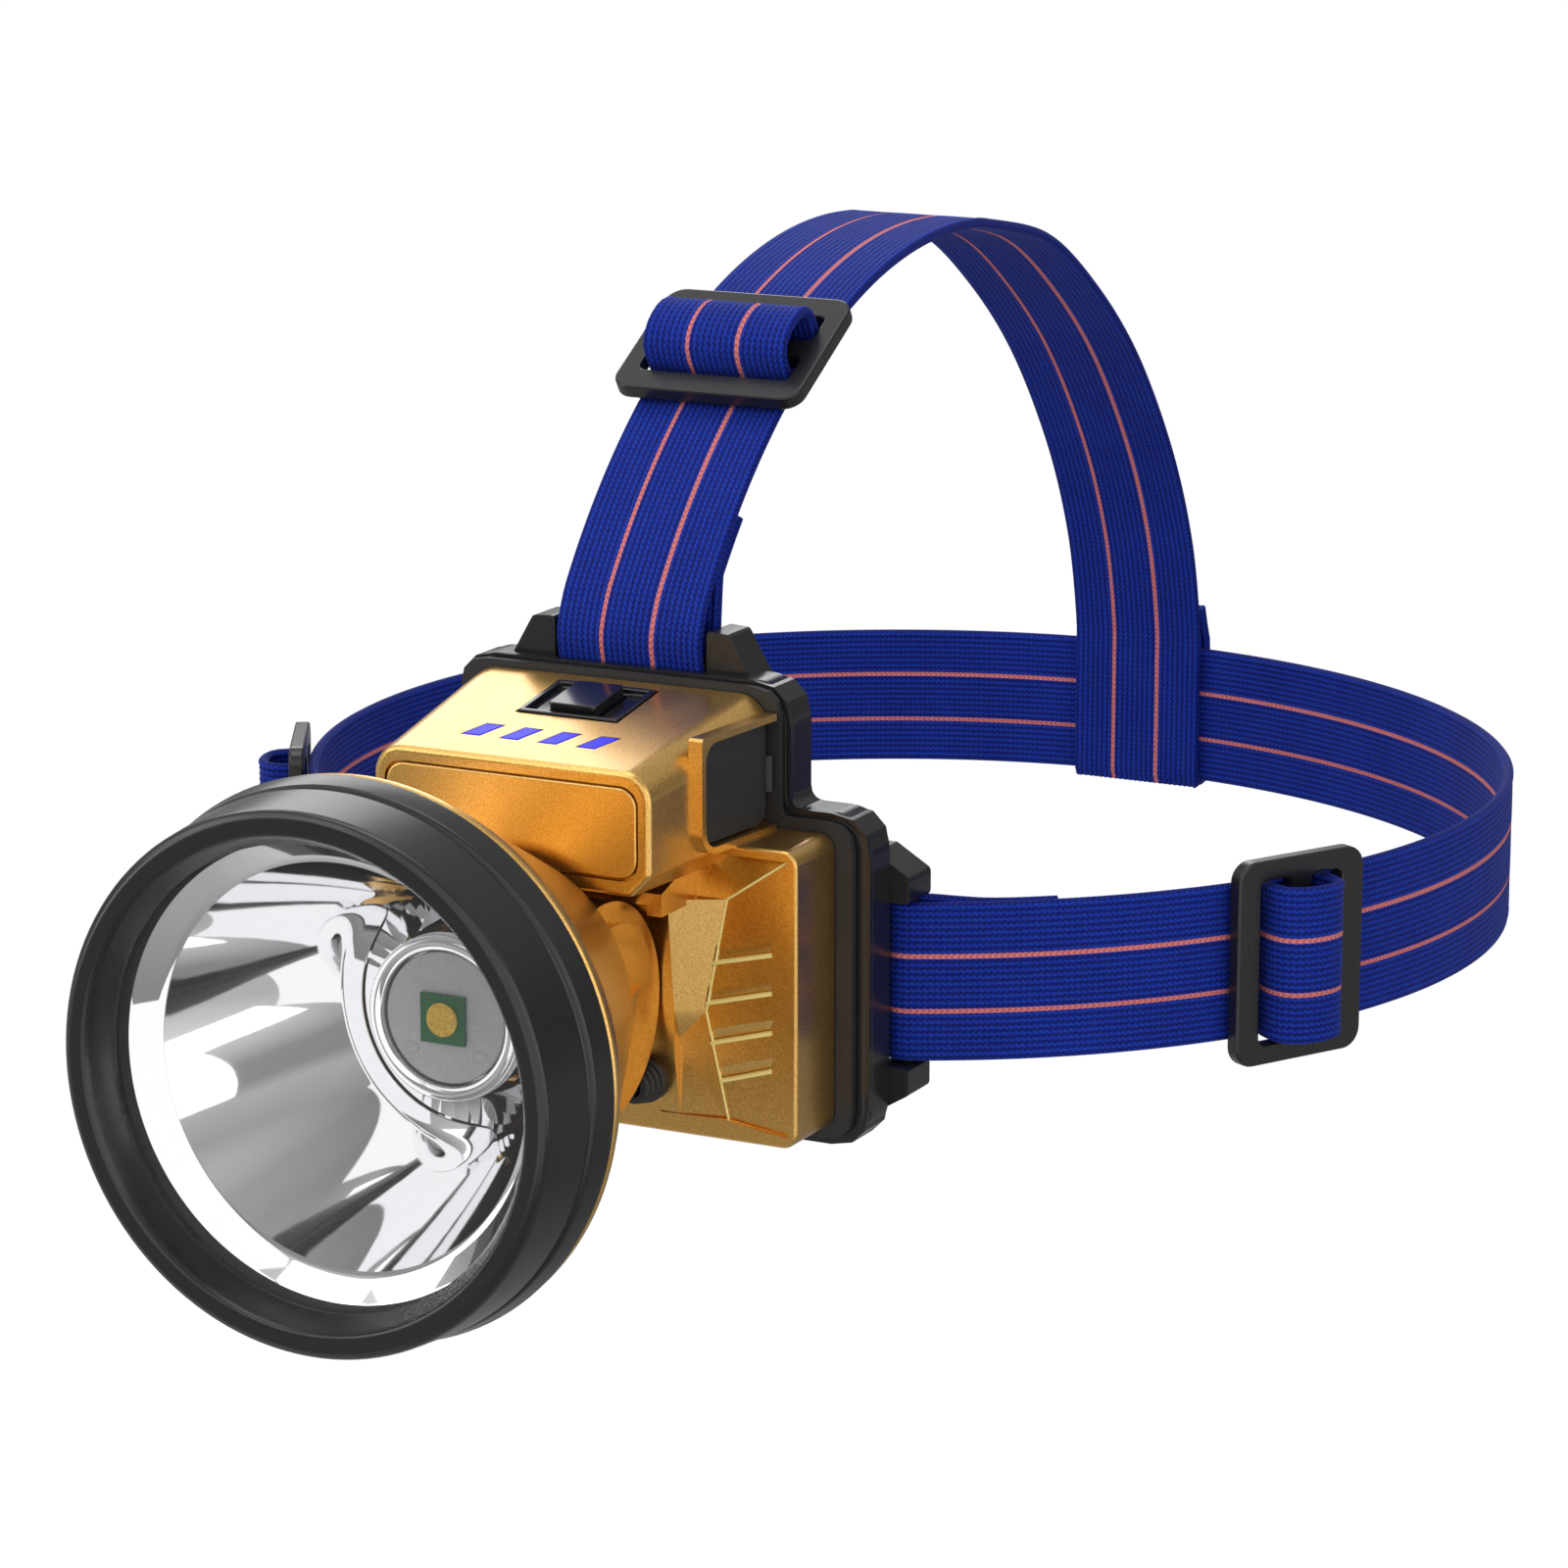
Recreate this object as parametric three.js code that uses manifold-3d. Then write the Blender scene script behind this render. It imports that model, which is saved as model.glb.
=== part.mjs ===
// Headlamp: a plated two-step housing with a tilting lamp head, worn on an elastic headband and a
// top strap. Millimetres, +Z up. The origin is the centre of the headband loop at the middle of the
// band's width; the lamp shines along -Y and +X is to the right of someone facing the lamp.
import * as THREE from "three";
import { mergeVertices } from "three/addons/utils/BufferGeometryUtils.js";
import Module from "manifold-3d";

const wasm = await Module();
wasm.setup();

// ---- Driving dimensions ----
const GAP = 0.3; // air left between neighbouring pieces
const HEAD_SEGMENTS = 40; // facets round the lamp head
const SMALL_SEGMENTS = 16; // facets round screws, pins and other small turned pieces

const COVER_FRONT_Y = -102.4; // front plane of the back cover, the housing group's y = 0
const COVER = { lowerHalf: 42.5, bottom: -24.5, step: 28, upperHalf: 29, top: 47.3, rim: 7, back: 10.4 };
const GASKET = { lowerHalf: 40.3, bottom: -23.2, step: 26.9, upperHalf: 27.9, top: 46.7 };
const WALL = 1.8;
const SHELL_BACK = -1.9;
const LOWER = { half: 37.4, bottom: -21.4, top: 25.2, front: -14.6, flare: 1 };
const UPPER = { half: 23.6, bottom: 21, top: 40, front: -35.3, rise: 5.6, flare: 2.8, chamfer: 3.3 };
const UPPER_DEPTH = SHELL_BACK - UPPER.front;
const TRIM = { half: 21.4, bottom: 23.7, top: 37.6, radius: 3, thickness: 1.2 };
const MIDDLE = { half: 17.3, front: -16.1 }; // raised middle of the lower box's front
const LEDGE = { half: 19.8, front: -24.6, bottom: 15.5 }; // hood between the boxes, over the hinge
const SCREWS = [[-34.9, -18.4], [34.9, -18.4], [-22.2, 41], [22.2, 41]];
const SCREW = { head: 2.6, shank: 1.3 };

const HINGE = { y: -33.6, z: 2, pin: 2.5, knuckle: 11.5, knuckleHalf: 9.8, arm: 8 };
const EAR = { radius: 17.1, inner: 10.8, outer: 15 }; // the cup's two round ears on the hinge pin
const WASHER = { radius: 7, inner: 10.1, outer: 10.5 };
const SWITCH = { y: -11.35, halfX: 8.6, halfY: 6.6, slope: Math.atan(1 / 6) };
const BUTTON = { halfX: 4.1, halfY: 4.8, proud: 1.3 };
const INDICATORS = { count: 4, pitch: 6.6, y: -14.7, width: 2.9, length: 4.6, slant: 1.7 };
const PORT = { front: -21.6, back: -2.9, bottom: 26.2, top: 42.4, radius: 2.5 };
const BATTERY = { radius: 9.2, half: 32.4, y: -3.3, z: -5.4 }; // an 18650 cell with its sleeve
const LEAD_EXIT = { x: 12.5, y: MIDDLE.front, z: -13 };
const LEAD_RADIUS = 1.3;

const LAMP = { frontY: -197.8, z: 5 }; // centre of the bezel's front face
const BOWL = { depth: 53.9, spread: 21.4, mouth: 11.6, floor: 46 };
const LED_PLANE = 40.4; // behind the bezel's front face
const CUP_END = 57.8;

const BAND = { width: 25.4, thickness: 1.6, radius: 102.3 };
const LUG_ANGLE = THREE.MathUtils.degToRad(25.6);
const FOLD_RADIUS = 2.9;
const LUG_BAR = 1.6; // radius of the bars that the straps fold round
const TOP_BAR = { y: 5.5, z: 47.3 };
const CROWN = { y: -7.9, z: -4.5, radius: 109.4 }; // arc of the top strap's front half
const SLIDER = { length: 25, width: 33, bar: 4.5, middle: 4, rail: 3.3, thickness: 2.5 };
const SLIDER_ANGLE = 61;
const CROWN_SLIDER_ANGLE = 59.2;

// ---- Materials ----
const finish = (color, roughness, metalness = 0) =>
  new THREE.MeshStandardMaterial({ color, roughness, metalness });
const GOLD = () => finish(0xc8862a, 0.32, 0.9);
const BLACK = () => finish(0x101012, 0.35);
const RUBBER = () => finish(0x141414, 0.7);
const WEBBING = () => finish(0x0c1e7d, 0.9);
const CHROME = () => finish(0xe8e8ea, 0.06, 1);
const STEEL = () => finish(0x9a9da1, 0.35, 1);
const BLUE_LIGHT = () => finish(0x3732eb, 0.4);

// ---- Solids: three.js geometry in, three.js geometry out, booleans in between ----
function solid(geometry) {
  const loose = geometry.index ? geometry.toNonIndexed() : geometry;
  const bare = new THREE.BufferGeometry().setAttribute("position", loose.getAttribute("position"));
  const merged = mergeVertices(bare, 1e-4);
  const corners = merged.index.array;
  const kept = [];
  for (let i = 0; i < corners.length; i += 3) {
    const [a, b, c] = [corners[i], corners[i + 1], corners[i + 2]];
    if (a !== b && b !== c && c !== a) kept.push([a, b, c]);
  }
  const build = (triangles) =>
    new wasm.Manifold(
      new wasm.Mesh({
        numProp: 3,
        vertProperties: merged.attributes.position.array,
        triVerts: new Uint32Array(triangles.flat()),
      }),
    );
  const made = build(kept);
  return made.volume() < 0 ? build(kept.map(([a, b, c]) => [a, c, b])) : made;
}

function geometryOf(body) {
  const { vertProperties, triVerts } = body.getMesh();
  const geometry = new THREE.BufferGeometry();
  geometry.setAttribute("position", new THREE.BufferAttribute(vertProperties, 3));
  geometry.setIndex(new THREE.BufferAttribute(triVerts, 1));
  const flat = geometry.toNonIndexed();
  flat.computeVertexNormals();
  return flat;
}

const joined = (first, ...rest) => rest.reduce((body, more) => body.add(more), first);
const cut = (first, ...rest) => rest.reduce((body, less) => body.subtract(less), first);

function piece(name, body, material) {
  const mesh = new THREE.Mesh(geometryOf(body), material);
  mesh.name = name;
  return mesh;
}

function block([x0, x1], [y0, y1], [z0, z1]) {
  const box = new THREE.BoxGeometry(x1 - x0, y1 - y0, z1 - z0);
  return solid(box.translate((x0 + x1) / 2, (y0 + y1) / 2, (z0 + z1) / 2));
}

function rod(axis, radius, [from, to], [u, v], segments = SMALL_SEGMENTS) {
  const geometry = new THREE.CylinderGeometry(radius, radius, to - from, segments);
  const middle = (from + to) / 2;
  if (axis === "x") geometry.rotateZ(Math.PI / 2).translate(middle, u, v);
  else if (axis === "y") geometry.translate(u, middle, v);
  else geometry.rotateX(Math.PI / 2).translate(u, v, middle);
  return solid(geometry);
}

// Solid of revolution about Y through a list of [radius, y]; it closes on itself off the axis.
function turned(profile, segments = HEAD_SEGMENTS) {
  const points = profile.map(([r, y]) => new THREE.Vector2(r, y));
  if (profile[0][0] > 0) points.push(points[0].clone());
  return solid(new THREE.LatheGeometry(points, segments));
}

// Closed outline through corners [u, v, radius], each corner rounded to its radius.
function outline(corners) {
  const shape = new THREE.Shape();
  corners.forEach(([u, v, radius = 0], i) => {
    const here = new THREE.Vector2(u, v);
    const toward = (corner) => new THREE.Vector2(corner[0], corner[1]).sub(here).normalize();
    const back = toward(corners.at(i - 1));
    const ahead = toward(corners[(i + 1) % corners.length]);
    const reach = radius / Math.tan(back.angleTo(ahead) / 2);
    const start = here.clone().addScaledVector(back, reach);
    const end = here.clone().addScaledVector(ahead, reach);
    if (i === 0) shape.moveTo(start.x, start.y);
    else shape.lineTo(start.x, start.y);
    if (radius > 0) shape.quadraticCurveTo(u, v, end.x, end.y);
  });
  shape.closePath();
  return shape;
}

const rectangle = ([u0, u1], [v0, v1], radius = 0) =>
  outline([[u0, v0, radius], [u1, v0, radius], [u1, v1, radius], [u0, v1, radius]]);

function extruded(shape, depth) {
  return new THREE.ExtrudeGeometry(shape, { depth, bevelEnabled: false, curveSegments: 3 });
}

// An outline in x and z, extruded along Y.
function alongY(shape, [from, to]) {
  return extruded(shape, to - from).rotateX(Math.PI / 2).translate(0, to, 0);
}

// An outline in y and z, extruded along X.
function alongX(shape, [from, to]) {
  const turn = new THREE.Matrix4().makeBasis(
    new THREE.Vector3(0, 1, 0),
    new THREE.Vector3(0, 0, 1),
    new THREE.Vector3(1, 0, 0),
  );
  return extruded(shape, to - from).applyMatrix4(turn).translate(from, 0, 0);
}
const alongZ = (shape, [from, to]) => extruded(shape, to - from).translate(0, 0, from);

// Moves each vertex of a geometry by a rule in x, y and z.
function reshaped(geometry, rule) {
  const position = geometry.getAttribute("position");
  for (let i = 0; i < position.count; i++)
    position.setXYZ(i, ...rule(position.getX(i), position.getY(i), position.getZ(i)));
  return geometry;
}

// ---- Housing ----
// The stepped outline that the shell, the gasket and the back cover share, taken in by inset.
function steppedOutline({ lowerHalf, bottom, step, upperHalf, top }, inset, radius) {
  const low = lowerHalf - inset;
  const high = upperHalf - inset;
  const shoulder = step - inset;
  const inner = Math.max(radius * 0.35, 0.6);
  return outline([
    [-low, bottom + inset, radius], [low, bottom + inset, radius], [low, shoulder, radius],
    [high, shoulder, inner], [high, top - inset, radius], [-high, top - inset, radius],
    [-high, shoulder, inner], [-low, shoulder, radius],
  ]);
}

// Widens and lifts the upper box towards its back.
function upperTaper(x, y, z) {
  const t = (y - UPPER.front) / UPPER_DEPTH;
  const lift = (z - UPPER.bottom) / (UPPER.top - UPPER.bottom);
  return [x * (1 + (UPPER.flare * t) / UPPER.half), y, z + UPPER.rise * t * Math.max(lift, 0)];
}

function upperBox(inset, front, back) {
  const half = UPPER.half - inset;
  const bottom = UPPER.bottom + inset;
  const top = UPPER.top - inset;
  const side = bottom + UPPER.chamfer;
  const corner = Math.max(3 - inset, 1);
  const shape = outline([
    [-half + UPPER.chamfer, bottom], [half - UPPER.chamfer, bottom], [half, side],
    [half, top, corner], [-half, top, corner], [-half, side],
  ]);
  return solid(reshaped(alongY(shape, [front, back]), upperTaper));
}

function lowerBox(inset, front, back) {
  const half = LOWER.half - inset;
  const corner = Math.max(3 - inset, 1);
  const shape = rectangle([-half, half], [LOWER.bottom + inset, LOWER.top - inset], corner);
  const widen = (x, y, z) => {
    const t = (y - LOWER.front) / (SHELL_BACK - LOWER.front);
    return [x * (1 + (LOWER.flare * t) / LOWER.half), y, z];
  };
  return solid(reshaped(alongY(shape, [front, back]), widen));
}

const sideX = (y) => UPPER.half + (UPPER.flare * (y - UPPER.front)) / UPPER_DEPTH;

// A rounded patch on the upper box's right side, from depth below the surface to height above it.
function sidePatch(grow, depth, height) {
  const shape = rectangle(
    [PORT.front - grow, PORT.back + grow], [PORT.bottom - grow, PORT.top + grow], PORT.radius,
  );
  const flat = alongX(shape, [-depth, height]);
  return solid(reshaped(flat, (x, y, z) => [x + sideX(y), y, z]));
}

// A slanted patch for one indicator, in the top face's own tilted frame.
function indicatorPatch(index, grow, [from, to]) {
  const x = (index - (INDICATORS.count - 1) / 2) * INDICATORS.pitch;
  const shape = rectangle(
    [x - INDICATORS.width / 2 - grow, x + INDICATORS.width / 2 + grow],
    [INDICATORS.y - INDICATORS.length / 2 - grow, INDICATORS.y + INDICATORS.length / 2 + grow],
  );
  const slope = INDICATORS.slant / INDICATORS.length;
  const lean = (px, y, z) => [px + (y - INDICATORS.y) * slope, y, z];
  return solid(reshaped(alongZ(shape, [from, to]), lean));
}

// Puts a solid made in the top face's tilted frame into the housing's frame.
const topFaceZ = (y) => UPPER.top + (UPPER.rise * (y - UPPER.front)) / UPPER_DEPTH;
function onTopFace(body) {
  const frame = new THREE.Matrix4().makeRotationX(SWITCH.slope);
  frame.setPosition(0, SWITCH.y, topFaceZ(SWITCH.y));
  return solid(geometryOf(body).applyMatrix4(frame));
}

function hingeKnuckle() {
  const half = [-HINGE.knuckleHalf, HINGE.knuckleHalf];
  const drum = rod("x", HINGE.knuckle, half, [HINGE.y, HINGE.z], 32);
  const arm = block(half, [HINGE.y, LOWER.front + 1], [HINGE.z - HINGE.arm, HINGE.z + HINGE.arm]);
  return joined(drum, arm);
}

function frontHousing() {
  const joint = LOWER.front + 1;
  const middle = block(
    [-MIDDLE.half, MIDDLE.half], [MIDDLE.front, joint], [LOWER.bottom + 1.5, UPPER.bottom + 1],
  );
  const ledge = block(
    [-LEDGE.half, LEDGE.half], [LEDGE.front, joint], [LEDGE.bottom, UPPER.bottom + 0.6],
  );
  const outside = joined(
    lowerBox(0, LOWER.front, SHELL_BACK), upperBox(0, UPPER.front, SHELL_BACK), middle, ledge,
  );
  const socket = rod("x", EAR.radius + 0.5, [-25, 25], [HINGE.y, HINGE.z], 40);
  const cavity = joined(
    lowerBox(WALL, LOWER.front + WALL, SHELL_BACK + 1),
    upperBox(WALL, UPPER.front + WALL, SHELL_BACK + 1),
  );
  const bosses = SCREWS.map((at) => rod("y", 2.4, [-13.2, -2.2], at));
  const portPad = cut(sidePatch(0.5, 4.4, -0.2), block([0, 40], [-40, 0], [43.2, 60]));
  const hollow = joined(
    cut(cut(outside, socket), cavity), ...bosses, portPad, hingeKnuckle(),
  );
  const screwHoles = SCREWS.map((at) => rod("y", SCREW.shank + GAP, [-10, 1], at, 12));
  const indicatorHoles = Array.from({ length: INDICATORS.count }, (_, i) =>
    onTopFace(indicatorPatch(i, GAP, [-4, 2])),
  );
  const switchHole = onTopFace(
    block(
      [-SWITCH.halfX - GAP, SWITCH.halfX + GAP], [-SWITCH.halfY - GAP, SWITCH.halfY + GAP], [-6, 3],
    ),
  );
  const trimPocket = solid(
    alongY(
      rectangle(
        [-TRIM.half - GAP, TRIM.half + GAP], [TRIM.bottom - GAP, TRIM.top + GAP], TRIM.radius,
      ),
      [UPPER.front - 1, UPPER.front + TRIM.thickness + GAP],
    ),
  );
  return cut(
    hollow, ...screwHoles, ...indicatorHoles, switchHole, trimPocket,
    sidePatch(GAP, 1.9, 3),
    block([14, 30], [-16.8, -7.2], [31.2, 35]), // charge socket window
    block([24.8, 30], [-3.8, -1.4], [30.6, 37]), // notch for the port cover's living hinge
    rod("x", HINGE.pin + GAP, [-20, 20], [HINGE.y, HINGE.z]),
    rod("y", LEAD_RADIUS + 0.8, [-20, -10], [LEAD_EXIT.x, LEAD_EXIT.z]),
  );
}

function trimPlate() {
  const shape = rectangle([-TRIM.half, TRIM.half], [TRIM.bottom, TRIM.top], TRIM.radius);
  return solid(alongY(shape, [UPPER.front, UPPER.front + TRIM.thickness]));
}

function housingGasket() {
  const ring = solid(alongY(steppedOutline(GASKET, 0, 4.5), [-1.6, -GAP]));
  const hole = solid(alongY(steppedOutline(GASKET, 3.9, 2.5), [-3, 1]));
  return cut(ring, hole, ...SCREWS.map((at) => rod("y", 2, [-3, 1], at, 12)));
}

// One ear of the side lug, above (sign 1) or below (sign -1) the strap.
function sideEar(side, sign) {
  const shape = outline([
    [side * 38, sign * 13.1], [side * 45.8, sign * 13.1, 0.8], [side * 45.8, sign * 17.3, 1],
    [side * 40, sign * 20.8, 0.8], [side * 38, sign * 20.8],
  ]);
  return solid(alongY(shape, [6.9, 14.6]));
}

function topEar(side) {
  const shape = outline([
    [side * 13.3, 44], [side * 13.3, 53.6, 0.8], [side * 17.2, 53.4, 1], [side * 21, 46.8, 0.8],
    [side * 21, 44],
  ]);
  return solid(alongY(shape, [2.4, 9.4]));
}

function lugBar(side) {
  const reach = BAND.radius - FOLD_RADIUS;
  const x = side * reach * Math.sin(LUG_ANGLE);
  const y = -reach * Math.cos(LUG_ANGLE) - COVER_FRONT_Y;
  return rod("z", LUG_BAR, [-13.6, 13.6], [x, y]);
}

function backCover() {
  const rim = solid(alongY(steppedOutline(COVER, 0, 6.5), [0, COVER.rim]));
  const pad = solid(alongY(steppedOutline(COVER, 3.6, 5), [COVER.rim - 1, COVER.back]));
  const pocket = solid(alongY(steppedOutline(COVER, 2.3, 4.5), [-1, COVER.back - 2]));
  const strapBlock = block([-15.5, 15.5], [0, COVER.back], [40.5, COVER.top]);
  const bosses = SCREWS.map((at) => rod("y", 3.4, [0.2, COVER.back - 1], at, 20));
  const tray = joined(cut(joined(rim, pad), pocket), strapBlock, ...bosses);
  const strapSlot = block([-13.1, 13.1], [1.7, COVER.back + 1], [43.4, COVER.top + 1]);
  const holes = SCREWS.flatMap((at) => [
    rod("y", SCREW.shank + GAP, [-1, 12], at, 12), rod("y", SCREW.head + GAP, [7.8, 12], at),
  ]);
  const topBar = rod("x", LUG_BAR, [-14, 14], [TOP_BAR.y, TOP_BAR.z]);
  const lugs = [1, -1].flatMap((side) => [
    sideEar(side, 1), sideEar(side, -1), lugBar(side), topEar(side),
  ]);
  return joined(cut(tray, strapSlot, ...holes), topBar, ...lugs);
}

function coverScrew([x, z]) {
  const head = rod("y", SCREW.head, [8.1, 9.9], [x, z]);
  const shank = rod("y", SCREW.shank, [-9.5, 8.5], [x, z], 12);
  const slot = block([x - 1.8, x + 1.8], [9.3, 11], [z - 0.35, z + 0.35]);
  return cut(joined(head, shank), slot);
}

function housingPieces() {
  const group = new THREE.Group();
  group.position.y = COVER_FRONT_Y;
  group.add(
    piece("front_housing", frontHousing(), GOLD()),
    piece("front_trim_plate", trimPlate(), GOLD()),
    piece("housing_gasket", housingGasket(), RUBBER()),
    piece("back_cover", backCover(), BLACK()),
    ...SCREWS.map((at, i) => piece("cover_screw_" + (i + 1), coverScrew(at), STEEL())),
  );
  return group;
}

// ---- Power, switch and charging ----
function batteryCell() {
  const { radius, half, y, z } = BATTERY;
  const can = rod("x", radius, [-half, half - 1.2], [y, z], 32);
  return joined(can, rod("x", 2.8, [half - 1.5, half], [y, z]));
}

function contactTab(side) {
  const x = side * (BATTERY.half + 0.6);
  const thickness = [x, x + side * 0.5].sort((a, b) => a - b);
  return block(thickness, [-7, 0.5], [BATTERY.z - 4, BATTERY.z + 4]);
}

function chargeSocket() {
  const body = block([17, 23.6], [-16.5, -7.5], [31.5, 34.7]);
  return cut(body, block([18.2, 25], [-15.7, -8.3], [32.3, 33.9]));
}

function switchPanel() {
  const { halfX, halfY } = SWITCH;
  const plate = block([-halfX, halfX], [-halfY, halfY], [-2.2, 0.35]);
  const dish = block([-halfX + 1, halfX - 1], [-halfY + 1, halfY - 1], [-0.5, 2]);
  const hole = block(
    [-BUTTON.halfX - GAP, BUTTON.halfX + GAP], [-BUTTON.halfY - GAP, BUTTON.halfY + GAP], [-4, 2],
  );
  return cut(plate, dish, hole);
}

function powerButton() {
  const cap = rectangle([-BUTTON.halfX, BUTTON.halfX], [-BUTTON.halfY, BUTTON.halfY], 0.8);
  return solid(alongZ(cap, [-1.5, BUTTON.proud]));
}

function buttonSwitch() {
  return joined(block([-3, 3], [-3, 3], [-5.6, -3.4]), rod("z", 1.6, [-3.8, -2.7], [0, 0], 12));
}

function topFacePieces() {
  const group = new THREE.Group();
  group.position.set(0, COVER_FRONT_Y + SWITCH.y, topFaceZ(SWITCH.y));
  group.rotation.x = SWITCH.slope;
  group.add(
    piece("switch_panel", switchPanel(), BLACK()),
    piece("power_button", powerButton(), RUBBER()),
    piece("button_switch", buttonSwitch(), STEEL()),
    piece("control_board", block([-16, 16], [-19, 6.5], [-7.2, -5.9]), finish(0x1d5c38, 0.6)),
  );
  for (let i = 0; i < INDICATORS.count; i++)
    group.add(piece("indicator_" + (i + 1), indicatorPatch(i, 0, [-4.6, 0.05]), BLUE_LIGHT()));
  return group;
}

function portCover() {
  const flap = sidePatch(0, 1.5, -0.1);
  const livingHinge = rod("z", 0.8, [31, 36.6], [sideX(PORT.back) + 0.1, PORT.back + 0.3], 10);
  return joined(flap, livingHinge);
}

function powerPieces() {
  const group = new THREE.Group();
  group.position.y = COVER_FRONT_Y;
  group.add(
    piece("battery_cell", batteryCell(), finish(0x2a6f8f, 0.5)),
    piece("battery_tab_left", contactTab(-1), STEEL()),
    piece("battery_tab_right", contactTab(1), STEEL()),
    piece("charge_socket", chargeSocket(), STEEL()),
    piece("port_cover", portCover(), RUBBER()),
  );
  return group;
}

// ---- Hinge and lead ----
// From inside the housing, out through the boot and into the back of the cup.
function leadRoute() {
  const { x, z } = LEAD_EXIT;
  const points = [
    [x, -13.4, z], [x, -20.6, z], [11.5, -23.5, -14.2], [8.7, -26.6, -14.7], [6, -31, -14.3],
    [4.5, -36, -13], [4.2, -42.5, -11.5],
  ];
  return new THREE.CatmullRomCurve3(points.map((point) => new THREE.Vector3(...point)));
}

function lampLead() {
  const ring = new THREE.Shape().absarc(0, 0, LEAD_RADIUS, 0, 2 * Math.PI);
  return solid(
    new THREE.ExtrudeGeometry(ring, { steps: 18, curveSegments: 4, extrudePath: leadRoute() }),
  );
}

// A ribbed rubber sleeve: four ribs, each a little smaller than the one before.
function cableBoot() {
  const wall = LEAD_EXIT.y - GAP;
  const pitch = 1.2;
  const groove = 0.6;
  const ribs = [0, 1, 2, 3].flatMap((i) => {
    const radius = 3.5 - 0.25 * i;
    const start = wall - i * pitch;
    return [
      [radius, start], [radius, start - 0.7], [radius - groove, start - 0.7],
      [radius - groove, start - pitch],
    ];
  });
  const bore = LEAD_RADIUS + GAP;
  const profile = [[bore, wall], ...ribs, [bore, wall - 4 * pitch]];
  const sleeve = geometryOf(turned(profile, SMALL_SEGMENTS));
  return solid(sleeve.translate(LEAD_EXIT.x, 0, LEAD_EXIT.z));
}

function frictionWasher(side) {
  const span = [side * WASHER.inner, side * WASHER.outer].sort((a, b) => a - b);
  return cut(
    rod("x", WASHER.radius, span, [HINGE.y, HINGE.z], 24),
    rod("x", HINGE.pin + GAP, [-12, 12], [HINGE.y, HINGE.z]),
  );
}

function hingePieces() {
  const group = new THREE.Group();
  group.position.y = COVER_FRONT_Y;
  group.add(
    piece("hinge_pin", rod("x", HINGE.pin, [-14.6, 14.6], [HINGE.y, HINGE.z]), STEEL()),
    piece("friction_washer_left", frictionWasher(-1), STEEL()),
    piece("friction_washer_right", frictionWasher(1), STEEL()),
    piece("cable_boot", cableBoot(), RUBBER()),
    piece("lamp_lead", lampLead(), RUBBER()),
  );
  return group;
}

// ---- Lamp head: y is the depth behind the bezel's front face, x and z are from the lamp's axis ----
const bowlRadius = (depth) => Math.sqrt(BOWL.spread * (BOWL.depth - depth));

function bezelRing() {
  return turned([
    [36.4, 0], [38.9, 0], [39.9, 0.9], [40.9, 10.4], [40.3, 10.7], [40.3, 11.3], [41.1, 11.6],
    [42, 15.6], [41.6, 16.4], [38.2, 16.4], [38.2, 5.2], [34.2, 5.2], [34.2, 4.2], [36, 0.6],
  ]);
}

function reflector() {
  const steps = 7;
  const depthAt = (i) => BOWL.mouth + ((BOWL.floor - BOWL.mouth) * i) / steps;
  const face = Array.from({ length: steps + 1 }, (_, i) => [bowlRadius(depthAt(i)), depthAt(i)]);
  const back = face.map(([r, y]) => [r + 1.3, y + 0.8]).reverse();
  const flange = [[37.6, 8.6], [34.2, 8.6], [31.2, BOWL.mouth - GAP]];
  return turned([...flange, ...face, ...back, [33.4, 9.9], [37.6, 9.9]]);
}

function lampCup() {
  const hinge = { y: HINGE.y + COVER_FRONT_Y - LAMP.frontY, z: HINGE.z - LAMP.z };
  const wall = [
    [37.9, 10.2], [37.9, 16.7], [41.6, 16.7], [41.6, 18], [40.5, 18.4], [40.2, 24.5], [38.6, 28.2],
    [26.1, 49.8], [21.6, CUP_END],
  ];
  const inside = [[35.9, 0], [35.9, 24], [34.6, 27.6], [23.6, 48.3], [19.6, 55.3]];
  const body = turned([[0, 10.2], ...wall, [0, CUP_END]]);
  const chamber = turned([[0, 0], ...inside, [0, 55.3]]);
  const at = [hinge.y, hinge.z];
  const ears = [-1, 1].map((side) =>
    rod("x", EAR.radius, [side * EAR.inner, side * EAR.outer].sort((a, b) => a - b), at, 40),
  );
  const pocketWall = rod("x", HINGE.knuckle + 2.4, [-12.6, 12.6], at, 32);
  return cut(
    joined(body, ...ears),
    cut(chamber, pocketWall),
    rod("x", HINGE.knuckle + 0.6, [-10.7, 10.7], at, 32),
    rod("x", HINGE.pin + GAP, [-16, 16], at),
    rod("y", 2.2, [48, 60], [4.3, -17]), // hole for the lead
  );
}

function ledCollar() {
  return turned([[10.3, 42.1], [10.3, 40.2], [11, 39.3], [12.1, 39.2], [12.7, 40], [12.7, 42.1]]);
}

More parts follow.
